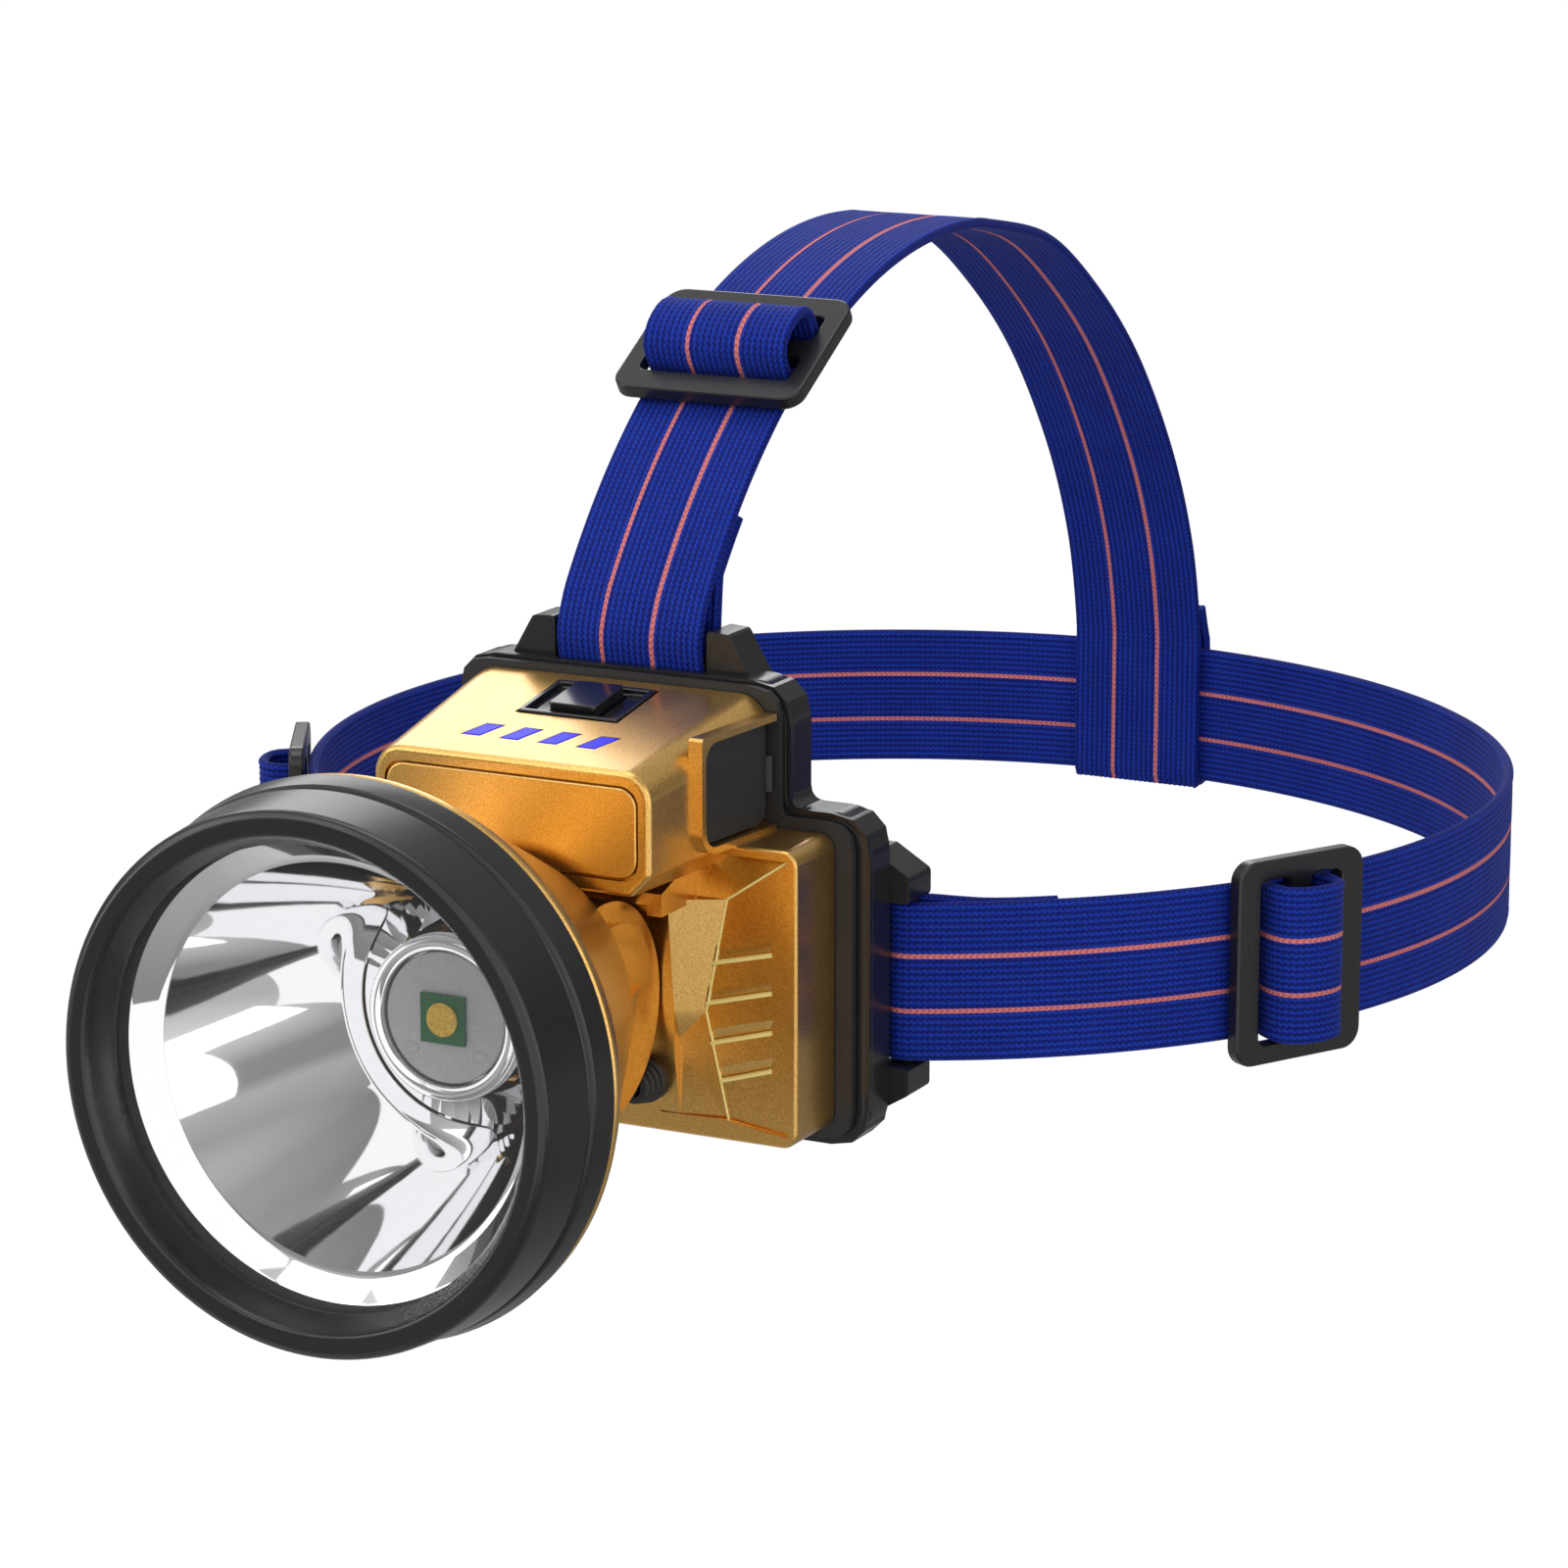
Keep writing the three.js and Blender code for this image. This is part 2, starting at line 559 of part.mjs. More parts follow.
function lampPieces() {
  const group = new THREE.Group();
  group.position.set(0, LAMP.frontY, LAMP.z);
  const chip = block([-3.75, 3.75], [LED_PLANE - 0.9, LED_PLANE - GAP], [-3.75, 3.75]);
  const phosphor = rod("y", 2.6, [LED_PLANE - 1.5, LED_PLANE - 1.2], [0, 0], 24);
  const board = turned([[0, LED_PLANE], [10, LED_PLANE], [10, 42.1], [0, 42.1]]);
  const gasket = turned([[34.7, 5.5], [37.6, 5.5], [37.6, 6.2], [34.7, 6.2]]);
  const lens = turned([[0, 6.5], [37.6, 6.5], [37.6, 8.3], [0, 8.3]]);
  group.add(
    piece("bezel_ring", bezelRing(), BLACK()),
    piece("lens_gasket", gasket, RUBBER()),
    piece("lens", lens, finish(0xffffff, 0.02)),
    piece("reflector", reflector(), CHROME()),
    piece("lamp_cup", lampCup(), GOLD()),
    piece("led_collar", ledCollar(), CHROME()),
    piece("led_board", board, finish(0x878787, 0.5)),
    piece("led_package", chip, finish(0x14552d, 0.5)),
    piece("led_phosphor", phosphor, finish(0xbe9632, 0.6)),
    piece("heat_sink", rod("y", 12.2, [42.4, 47.3], [0, 0], 40), finish(0xb9bcc0, 0.4, 1)),
  );
  return group;
}

// ---- Straps ----
// A strip of the webbing's thickness along a path of 2D points, as a closed outline.
function ribbon(path) {
  const half = BAND.thickness / 2;
  const sides = [[], []];
  path.forEach((point, i) => {
    const before = path[Math.max(i - 1, 0)];
    const after = path[Math.min(i + 1, path.length - 1)];
    const along = after.clone().sub(before).normalize();
    const normal = new THREE.Vector2(-along.y, along.x);
    sides[0].push(point.clone().addScaledVector(normal, half));
    sides[1].unshift(point.clone().addScaledVector(normal, -half));
  });
  return new THREE.Shape([...sides[0], ...sides[1]]);
}

// A point in plan: the angle is counted from the front, towards +X.
function polar(radius, angle) {
  return new THREE.Vector2(radius * Math.sin(angle), -radius * Math.cos(angle));
}

// Right half of the headband in plan, from its sewn end inside the lug, round the bar, to the back.
function halfBandPath() {
  const path = [];
  const returned = BAND.radius - BAND.thickness - GAP;
  for (let i = 0; i <= 5; i++) {
    const t = i / 5;
    const ease = THREE.MathUtils.smoothstep(1.6 * (1 - t), 0, 1);
    const angle = LUG_ANGLE + 0.23 * (1 - t);
    path.push(polar(THREE.MathUtils.lerp(BAND.radius - 2 * FOLD_RADIUS, returned, ease), angle));
  }
  const centre = polar(BAND.radius - FOLD_RADIUS, LUG_ANGLE);
  for (let i = 1; i < 8; i++) {
    const turn = LUG_ANGLE - Math.PI + (Math.PI * i) / 8;
    path.push(centre.clone().add(polar(FOLD_RADIUS, turn)));
  }
  const steps = 34;
  for (let i = 0; i <= steps; i++)
    path.push(polar(BAND.radius, LUG_ANGLE + ((Math.PI - LUG_ANGLE) * i) / steps));
  return path;
}

function headband() {
  const right = halfBandPath();
  const left = right.slice(0, -1).reverse().map((p) => new THREE.Vector2(-p.x, p.y));
  return solid(alongZ(ribbon([...right, ...left]), [-BAND.width / 2, BAND.width / 2]));
}

// Points half way round under a centre, from its +Y side to its -Y side, or back if the radius is
// negative.
function halfTurn(centre, radius, count) {
  return Array.from({ length: count }, (_, i) => {
    const angle = (Math.PI * (i + 1)) / (count + 1);
    const drop = Math.abs(radius) * Math.sin(angle);
    return new THREE.Vector2(centre.x + radius * Math.cos(angle), centre.y - drop);
  });
}

// The top strap in y and z: a sewn fold round the lug bar, the front arc, the back curve and the
// loop that goes under the headband and up behind it.
function topStrapPath() {
  const bar = new THREE.Vector2(TOP_BAR.y + COVER_FRONT_Y, TOP_BAR.z);
  const spline = (...points) =>
    new THREE.SplineCurve(points.map(([y, z]) => new THREE.Vector2(y, z)));
  const crownArc = (radius, from, to, steps) =>
    Array.from({ length: steps + 1 }, (_, i) => {
      const angle = THREE.MathUtils.degToRad(from + ((to - from) * i) / steps);
      return new THREE.Vector2(CROWN.y - radius * Math.cos(angle), CROWN.z + radius * Math.sin(angle));
    });
  const innerLayer = crownArc(CROWN.radius - BAND.thickness - GAP, 43, 37.5, 3);
  const foldStart = innerLayer.at(-1);
  const turn = 2.7; // radius of the fold round the bar
  const [foldEnd] = crownArc(CROWN.radius, 34.5, 40, 1);
  const fold = [
    ...spline(foldStart.toArray(), [bar.x + 3, bar.y + 6], [bar.x + turn, bar.y]).getPoints(6).slice(1),
    ...halfTurn(bar, turn, 7),
    ...spline([bar.x - turn, bar.y], [bar.x - 3.4, bar.y + 4.5], foldEnd.toArray()).getPoints(6),
  ];
  const crown = crownArc(CROWN.radius, 35.5, 95, 22);
  const rear = spline(
    crown.at(-1).toArray(), [28.1, 98.9], [48.8, 87.8], [68, 72.6], [84.5, 52.9], [94.4, 34.8],
    [99, 18], [99.5, 8], [99.5, -13.2],
  ).getPoints(40);
  const under = halfTurn(new THREE.Vector2(101.85, -13.2), -2.35, 7);
  const up = spline([104.2, -13.2], [104.2, 0], [104.2, 13], [103, 16.5], [101.6, 20.5]).getPoints(14);
  return [...innerLayer, ...fold, ...crown, ...rear.slice(1), ...under, ...up];
}

const topStrap = () => solid(alongX(ribbon(topStrapPath()), [-BAND.width / 2, BAND.width / 2]));

// A three-bar slider on the outside of a strap, at the front of a circle of the strap's outer radius.
function sliderFrame(outerRadius) {
  const { length, width, bar, middle, rail, thickness } = SLIDER;
  const inner = -outerRadius - 0.4;
  const plate = rectangle([-length / 2, length / 2], [-width / 2, width / 2], 3.2);
  const opening = (side) => {
    const ends = [side * (middle / 2), side * (length / 2 - bar)].sort((a, b) => a - b);
    const shape = rectangle(ends, [-width / 2 + rail, width / 2 - rail], 1);
    return solid(alongY(shape, [inner - thickness - 1, inner + 1]));
  };
  return cut(solid(alongY(plate, [inner - thickness, inner])), opening(1), opening(-1));
}

// The slack that a slider holds: a short arch of webbing over its middle bar.
function slackLoop(outerRadius) {
  const base = outerRadius + 0.5;
  const arch = new THREE.SplineCurve(
    [[-5.2, 0], [-5.6, 3], [-5, 5.6], [-2.8, 7], [0, 7.4], [2.8, 7], [5, 5.6], [5.6, 3], [5.2, 0]].map(
      ([along, out]) => new THREE.Vector2(along, -base - out),
    ),
  );
  return solid(alongZ(ribbon(arch.getPoints(18)), [-BAND.width / 2, BAND.width / 2]));
}

function sliderGroup(where, outerRadius) {
  const group = new THREE.Group();
  group.add(
    piece("slider_" + where, sliderFrame(outerRadius), BLACK()),
    piece("slack_loop_" + where, slackLoop(outerRadius), WEBBING()),
  );
  return group;
}

function strapPieces() {
  const group = new THREE.Group();
  group.add(piece("headband", headband(), WEBBING()), piece("top_strap", topStrap(), WEBBING()));
  const bandOuter = BAND.radius + BAND.thickness / 2;
  for (const [where, side] of [["right", 1], ["left", -1]]) {
    const slider = sliderGroup(where, bandOuter);
    slider.rotation.z = THREE.MathUtils.degToRad(side * SLIDER_ANGLE);
    group.add(slider);
  }
  const crownSlider = sliderGroup("top", CROWN.radius + BAND.thickness / 2);
  crownSlider.rotation.y = Math.PI / 2;
  const onCrown = new THREE.Group();
  onCrown.position.set(0, CROWN.y, CROWN.z);
  onCrown.rotation.x = THREE.MathUtils.degToRad(-CROWN_SLIDER_ANGLE);
  onCrown.add(crownSlider);
  group.add(onCrown);
  return group;
}

const headlamp = new THREE.Group();
headlamp.add(
  housingPieces(), topFacePieces(), powerPieces(), hingePieces(), lampPieces(), strapPieces(),
);

export default headlamp;
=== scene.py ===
# %% [markdown]
# # Headlamp: the looks
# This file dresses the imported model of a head-worn spot lamp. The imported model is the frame: it says
# where each piece is, what it moves with and how large it is. Here the pieces that show get a finer
# shape and a real finish, each in the same place. Lengths are in metres, and `MM` turns the
# maker's millimetres into them. +Z is up, the lamp shines along -Y and the origin is in the middle
# of the headband's loop.

# %% Load the frame
from math import atan2, cos, pi, radians, sin, sqrt

import bmesh
import bpy
from mathutils import Matrix, Vector


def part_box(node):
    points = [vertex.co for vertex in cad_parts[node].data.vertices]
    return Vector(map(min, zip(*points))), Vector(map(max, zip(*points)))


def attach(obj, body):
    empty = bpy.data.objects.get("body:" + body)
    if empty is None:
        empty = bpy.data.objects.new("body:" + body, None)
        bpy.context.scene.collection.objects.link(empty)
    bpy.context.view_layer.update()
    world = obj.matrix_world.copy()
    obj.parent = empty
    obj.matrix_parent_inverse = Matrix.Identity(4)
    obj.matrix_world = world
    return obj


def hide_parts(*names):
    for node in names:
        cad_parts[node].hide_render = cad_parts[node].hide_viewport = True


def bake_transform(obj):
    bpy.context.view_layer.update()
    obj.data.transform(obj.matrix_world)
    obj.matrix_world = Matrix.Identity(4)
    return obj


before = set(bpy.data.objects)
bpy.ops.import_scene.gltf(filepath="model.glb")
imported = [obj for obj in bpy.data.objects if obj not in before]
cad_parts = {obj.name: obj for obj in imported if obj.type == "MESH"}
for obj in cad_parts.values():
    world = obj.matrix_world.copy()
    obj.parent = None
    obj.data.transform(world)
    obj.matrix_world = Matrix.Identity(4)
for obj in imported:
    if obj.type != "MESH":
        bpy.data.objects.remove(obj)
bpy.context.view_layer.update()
MM = 0.001

# %% [markdown]
# ## The camera
# The camera stands in front of the lamp, a little to the right and above. It could be placed by
# eye, but an orbit (azimuth, elevation, distance round a target) is easier to read and to change. A
# long lens keeps the perspective calm, as product pictures do.

# %% Camera
TARGET = Vector((41.9, -130.0, 39.1)) * MM
AZIMUTH, ELEVATION, DISTANCE = radians(26.98), radians(13.46), 776.1 * MM
FOCAL_LENGTH = 121.74

outward = Vector((sin(AZIMUTH) * cos(ELEVATION), -cos(AZIMUTH) * cos(ELEVATION), sin(ELEVATION)))
camera = bpy.data.objects.new("camera", bpy.data.cameras.new("camera"))
camera.location = TARGET + outward * DISTANCE
camera.rotation_euler = (-outward).to_track_quat("-Z", "Y").to_euler()
camera.data.lens = FOCAL_LENGTH
bpy.context.scene.collection.objects.link(camera)
bpy.context.scene.camera = camera
bpy.context.scene.view_settings.view_transform = "Standard"
print("camera at", [round(x, 3) for x in camera.location])

# %% [markdown]
# ## The studio
# Plated metal and a mirror bowl show little of their own colour: they show the room. So the room
# matters more than for a matt object. A plain sky would leave the bowl blank, and no image of a
# real studio is used. So the sky is a soft gradient, dark near the horizon where black
# plastic must stay black, and a few large soft boxes stand round the lamp, out of the camera's
# sight. The pale floor is far below, because a head would hold this lamp up. It only shows to the
# camera: the sky under the horizon does its work for the reflections.

# %% Sky, floor and soft boxes
FLOOR_Z = -0.32
# Each stop is (place, grey): from straight down to straight up, and from left to right.
SKY_UPWARD = [(0.0, 0.75), (0.25, 0.4), (0.42, 0.5), (0.5, 0.28), (0.62, 0.3), (0.8, 0.8), (1.0, 1.0)]
SKY_SIDEWAYS = [(0.0, 1.0), (0.3, 0.85), (0.5, 0.55), (0.75, 0.55), (1.0, 1.0)]


def link_nodes(tree, *pairs):
    for output, target in pairs:
        tree.links.new(output, target)


def grey_ramp(tree, stops):
    ramp = tree.nodes.new("ShaderNodeValToRGB")
    while len(ramp.color_ramp.elements) < len(stops):
        ramp.color_ramp.elements.new(0.5)
    for element, (at, grey) in zip(ramp.color_ramp.elements, stops):
        element.position = at
        element.color = (grey, grey, grey, 1)
    return ramp


def studio_sky():
    """Light by direction: one ramp from straight down to straight up, times one from left to right."""
    world = bpy.data.worlds.new("studio")
    world.use_nodes = True
    tree = world.node_tree
    coordinates = tree.nodes.new("ShaderNodeTexCoord")
    split = tree.nodes.new("ShaderNodeSeparateXYZ")
    seen = tree.nodes.new("ShaderNodeLightPath")
    product = tree.nodes.new("ShaderNodeMix")
    product.data_type, product.blend_type = "RGBA", "MULTIPLY"
    product.inputs["Factor"].default_value = 1
    white = tree.nodes.new("ShaderNodeMix")
    white.data_type = "RGBA"
    white.inputs["B"].default_value = (1, 1, 1, 1)
    upward = grey_ramp(tree, SKY_UPWARD)
    sideways = grey_ramp(tree, SKY_SIDEWAYS)
    for axis, ramp, socket in (("Z", upward, "A"), ("X", sideways, "B")):
        spread = tree.nodes.new("ShaderNodeMapRange")
        spread.inputs["From Min"].default_value = -1
        link_nodes(
            tree,
            (split.outputs[axis], spread.inputs["Value"]),
            (spread.outputs["Result"], ramp.inputs["Fac"]),
            (ramp.outputs["Color"], product.inputs[socket]),
        )
    link_nodes(
        tree,
        (coordinates.outputs["Generated"], split.inputs[0]),
        (seen.outputs["Is Camera Ray"], white.inputs["Factor"]),
        (product.outputs["Result"], white.inputs["A"]),
        (white.outputs["Result"], tree.nodes["Background"].inputs["Color"]),
    )
    bpy.context.scene.world = world


def glow_material(name, strength, base=0.0):
    material = bpy.data.materials.new(name)
    material.use_nodes = True
    shader = material.node_tree.nodes["Principled BSDF"]
    shader.inputs["Base Color"].default_value = (base, base, base, 1)
    shader.inputs["Specular IOR Level"].default_value = 0
    shader.inputs["Roughness"].default_value = 1
    shader.inputs["Emission Color"].default_value = (1, 1, 1, 1)
    shader.inputs["Emission Strength"].default_value = strength
    return material


def stage_card(name, centre, size, toward, strength):
    """A flat card that glows, faces a point and is hidden from the camera."""
    bm = bmesh.new()
    bmesh.ops.create_grid(bm, x_segments=1, y_segments=1, size=0.5)
    bmesh.ops.scale(bm, verts=bm.verts, vec=(size[0], size[1], 1))
    facing = (Vector(toward) - Vector(centre)).to_track_quat("Z", "Y").to_matrix().to_4x4()
    bmesh.ops.transform(bm, verts=bm.verts, matrix=Matrix.Translation(centre) @ facing)
    mesh = bpy.data.meshes.new(name)
    bm.to_mesh(mesh)
    bm.free()
    card = bpy.data.objects.new(name, mesh)
    bpy.context.scene.collection.objects.link(card)
    mesh.materials.append(glow_material(name, strength))
    card.visible_camera = False


def studio_floor():
    bm = bmesh.new()
    bmesh.ops.create_circle(bm, cap_ends=True, segments=64, radius=30)
    bmesh.ops.translate(bm, verts=bm.verts, vec=(0, 0, FLOOR_Z))
    mesh = bpy.data.meshes.new("floor")
    bm.to_mesh(mesh)
    bm.free()
    floor = bpy.data.objects.new("floor", mesh)
    bpy.context.scene.collection.objects.link(floor)
    mesh.materials.append(glow_material("pale_floor", 0.99, 0.02))
    floor.visible_diffuse = floor.visible_glossy = floor.visible_transmission = False


studio_sky()
studio_floor()
LAMP_PLACE = (0, -0.17, 0.01)
stage_card("soft_box_top", (-0.1, -0.1, 0.9), (0.7, 0.5), LAMP_PLACE, 2.4)
stage_card("soft_box_left", (-1.0, -0.75, 0.3), (0.5, 0.9), LAMP_PLACE, 2.6)
stage_card("soft_box_high", (-0.55, -0.95, 0.85), (0.6, 0.35), LAMP_PLACE, 2.4)
stage_card("soft_box_right", (1.2, -0.55, 0.2), (1.0, 1.2), LAMP_PLACE, 1.5)
stage_card("soft_box_behind", (-0.75, 1.0, 0.75), (0.9, 0.7), LAMP_PLACE, 2.6)
stage_card("front_card", (0.45, -1.5, 0.25), (1.7, 2.3), LAMP_PLACE, 1.15)
print("studio ready, floor at", FLOOR_Z)

# %% [markdown]
# ## A small helper for finishes
# Each finish starts from one Principled shader with its plain values set on its own sockets, and
# then a few texture nodes add what the real surface shows: grain, speckle, a weave. The grains
# read Object coordinates in metres, so they have the same size on every piece.

# %% Finish helper
class Finish:
    """A node material: plain values on the Principled shader, and textures added step by step."""

    def __init__(self, name, color, roughness, **sockets):
        self.material = bpy.data.materials.new(name)
        self.material.use_nodes = True
        self.tree = self.material.node_tree
        self.shader = self.tree.nodes["Principled BSDF"]
        self.shader.inputs["Base Color"].default_value = (*color, 1)
        self.shader.inputs["Roughness"].default_value = roughness
        for socket, value in sockets.items():
            self.shader.inputs[socket.replace("_", " ").title().replace("Ior", "IOR")].default_value = value
        self.place = self.node("TexCoord").outputs["Object"]

    def node(self, kind, **settings):
        made = self.tree.nodes.new("ShaderNode" + kind)
        for key, value in settings.items():
            setattr(made, key, value)
        return made

    def link(self, output, target):
        self.tree.links.new(output, target)
        return self

    def noise(self, size, detail=2.0):
        """Noise whose grains are about size metres across."""
        texture = self.node("TexNoise")
        texture.inputs["Scale"].default_value = 1 / size
        texture.inputs["Detail"].default_value = detail
        self.link(self.place, texture.inputs["Vector"])
        return texture.outputs["Fac"]

    def math(self, operation, *values):
        made = self.node("Math", operation=operation)
        for socket, value in zip(made.inputs, values):
            if isinstance(value, (int, float)):
                socket.default_value = value
            else:
                self.link(value, socket)
        return made.outputs[0]

    def ramp(self, factor, *stops):
        """Colours by a factor: each stop is (position, colour)."""
        made = self.node("ValToRGB")
        while len(made.color_ramp.elements) < len(stops):
            made.color_ramp.elements.new(0.5)
        for element, (at, color) in zip(made.color_ramp.elements, stops):
            element.position = at
            element.color = (*color, 1)
        self.link(factor, made.inputs["Fac"])
        return made.outputs["Color"]

    def mix(self, factor, a, b):
        made = self.node("Mix", data_type="RGBA")
        for socket, value in (("Factor", factor), ("A", a), ("B", b)):
            if isinstance(value, tuple):
                made.inputs[socket].default_value = (*value, 1)
            elif isinstance(value, (int, float)):
                made.inputs[socket].default_value = value
            else:
                self.link(value, made.inputs[socket])
        return made.outputs["Result"]

    def vary(self, socket, factor, low, high):
        """Drives a shader value between low and high."""
        made = self.node("MapRange")
        made.inputs["From Min"].default_value = 0.3
        made.inputs["From Max"].default_value = 0.7
        made.inputs["To Min"].default_value = low
        made.inputs["To Max"].default_value = high
        self.link(factor, made.inputs["Value"])
        return self.link(made.outputs["Result"], self.shader.inputs[socket])

    def bump(self, height, depth, strength=1.0):
        made = self.node("Bump")
        made.inputs["Strength"].default_value = strength
        made.inputs["Distance"].default_value = depth
        self.link(height, made.inputs["Height"])
        return self.link(made.outputs["Normal"], self.shader.inputs["Normal"])


print("finish helper ready")

# %% [markdown]
# ## Plated gold
# The housing and the cup are moulded plastic with a thin plated coat under a tinted lacquer. The
# coat mirrors the room softly, and a fine grain from the lacquer shows as a speckle. A plain brass
# would look like solid metal: here a clear coat lies on top, and the speckle changes colour and
# height together, from one fine noise.

# %% Plated gold finish
def plated_gold():
    gold = Finish(
        "plated_gold", (0.76, 0.45, 0.115), 0.3, metallic=1.0, coat_weight=0.5, coat_roughness=0.14,
    )
    grain = gold.noise(0.28 * MM, 1.0)
    cloud = gold.noise(9 * MM, 3.0)
    dark, middling, light = (0.62, 0.35, 0.08), (0.77, 0.46, 0.12), (0.92, 0.61, 0.22)
    speckled = gold.ramp(grain, (0.3, dark), (0.52, middling), (0.75, light))
    toned = gold.mix(gold.math("MULTIPLY", cloud, 0.35), speckled, (0.8, 0.42, 0.08))
    gold.link(toned, gold.shader.inputs["Base Color"])
    gold.vary("Roughness", cloud, 0.29, 0.34)
    gold.bump(grain, 0.012 * MM, 0.5)
    return gold.material


def painted_highlight_gold():
    """A paler gold without metal for narrow crests. Its colour is a painted highlight: it stands in for the
    light that crests catch from all sides.
    """
    crest = Finish("painted_highlight_gold", (1.0, 0.9, 0.34), 0.35, metallic=0.0, coat_weight=0.4, coat_roughness=0.2)
    grain = crest.noise(0.3 * MM, 2.0)
    speckled = crest.ramp(grain, (0.35, (0.98, 0.82, 0.28)), (0.7, (1.0, 0.92, 0.42)))
    crest.link(speckled, crest.shader.inputs["Base Color"])
    crest.vary("Roughness", grain, 0.3, 0.4)
    crest.bump(grain, 0.008 * MM, 0.4)
    return crest.material


PLATED_GOLD = plated_gold()
PAINTED_HIGHLIGHT_GOLD = painted_highlight_gold()
print("made", PLATED_GOLD.name, "and", PAINTED_HIGHLIGHT_GOLD.name)

# %% [markdown]
# ## Black plastic and rubber
# The bezel, the back cover and the sliders are black moulded plastic with a satin gloss. The switch
# frame and the button have a higher gloss, and the port cover, the boot and the lead are rubber. All
# are nearly black, so what tells them apart is the gloss: plastic shows clear edges of light, and
# rubber spreads them. A faint grain keeps wide faces from looking like glass.

# %% Black plastic and rubber finishes
def black_finish(name, color, roughness, grain_size, grain_depth, coat):
    black = Finish(name, color, roughness[0], coat_weight=coat, coat_roughness=0.2)
    grain = black.noise(grain_size, 2.0)
    black.vary("Roughness", black.noise(14 * MM, 3.0), *roughness)
    lighter = tuple(c * 1.7 for c in color)
    black.link(black.ramp(grain, (0.35, color), (0.7, lighter)), black.shader.inputs["Base Color"])
    black.bump(grain, grain_depth, 0.4)
    return black.material


BLACK_PLASTIC = black_finish(
    "black_plastic", (0.009, 0.009, 0.01), (0.22, 0.28), 0.35 * MM, 0.006 * MM, coat=0.1,
)
GLOSS_BLACK = black_finish(
    "gloss_black", (0.008, 0.008, 0.009), (0.1, 0.17), 0.5 * MM, 0.004 * MM, coat=0.3,
)
RUBBER = black_finish("rubber", (0.016, 0.016, 0.017), (0.45, 0.6), 0.25 * MM, 0.02 * MM, coat=0.0)
print("made", BLACK_PLASTIC.name, GLOSS_BLACK.name, RUBBER.name)

# %% [markdown]
# ## Bright metal, glass and the light source
# The bowl and its collar are a vacuum-coated mirror. The lens is clear, so most of the light goes
# straight through and only a faint shine stays. The light source is a grey board with a green
# package and a yellow phosphor dome.

# %% Mirror, lens and light source finishes
def mirror_finish():
    mirror = Finish("mirror_coat", (0.93, 0.93, 0.94), 0.035, metallic=1.0)
    mirror.vary("Roughness", mirror.noise(6 * MM, 2.0), 0.025, 0.05)
    mirror.bump(mirror.noise(5 * MM, 1.0), 0.012 * MM, 0.35)
    return mirror.material


def lens_finish():
    lens = Finish("clear_lens", (1.0, 1.0, 1.0), 0.02, alpha=0.03, specular_ior_level=0.3)
    lens.vary("Roughness", lens.noise(8 * MM, 2.0), 0.01, 0.03)
    return lens.material


def speckled_finish(name, dark, light, size, roughness, depth=0.02 * MM, **sockets):
    plain = Finish(name, dark, roughness, **sockets)
    grain = plain.noise(size, 3.0)
    plain.link(plain.ramp(grain, (0.35, dark), (0.68, light)), plain.shader.inputs["Base Color"])
    plain.vary("Roughness", grain, roughness * 0.85, roughness * 1.15)
    plain.bump(grain, depth, 0.4)
    return plain.material


MIRROR = mirror_finish()
CLEAR_LENS = lens_finish()
BOARD_GREY = speckled_finish("board_grey", (0.4, 0.4, 0.405), (0.46, 0.46, 0.465), 0.4 * MM, 0.55)
CHIP_GREEN = speckled_finish("chip_green", (0.003, 0.085, 0.02), (0.008, 0.13, 0.035), 0.3 * MM, 0.5)
PHOSPHOR = speckled_finish("phosphor", (0.52, 0.3, 0.02), (0.76, 0.5, 0.06), 0.35 * MM, 0.6)
BRIGHT_STEEL = speckled_finish(
    "bright_steel", (0.52, 0.53, 0.55), (0.62, 0.63, 0.65), 0.3 * MM, 0.3, metallic=1.0,
)
INDICATOR_BLUE = speckled_finish(
    "indicator_blue", (0.02, 0.015, 0.6), (0.035, 0.03, 0.78), 0.5 * MM, 0.4, specular_ior_level=0.2,
    emission_color=(0.03, 0.02, 1.0, 1), emission_strength=0.25,
)
CELL_SLEEVE = speckled_finish("cell_sleeve", (0.02, 0.12, 0.2), (0.03, 0.16, 0.26), 1.5 * MM, 0.35)
CIRCUIT_BOARD = speckled_finish("circuit_board", (0.01, 0.12, 0.04), (0.015, 0.17, 0.06), 0.8 * MM, 0.45)
print("made", len(bpy.data.materials), "materials so far")

# %% [markdown]
# ## Webbing
# The straps are woven elastic: 25 lengthwise ribs across 25.4 mm, with a fine V-shaped knit in
# between and two thin coral threads. The pattern has to follow the strap round its bends, so it
# reads the strap's own UV map, which is unrolled in metres: U runs along the strap and V across it.
# An image would do the same, but a few sine waves stay sharp at any distance.

# %% Webbing finish
WEB_WIDTH = 25.4 * MM
RIBS = 25
THREAD_PLACES = (0.32, 0.665)  # across the width
THREAD_WIDTH = 0.75 * MM
KNIT_PITCH, KNIT_LEAN = 0.95 * MM, 1.3  # one stitch's length, and how far a rib shifts it


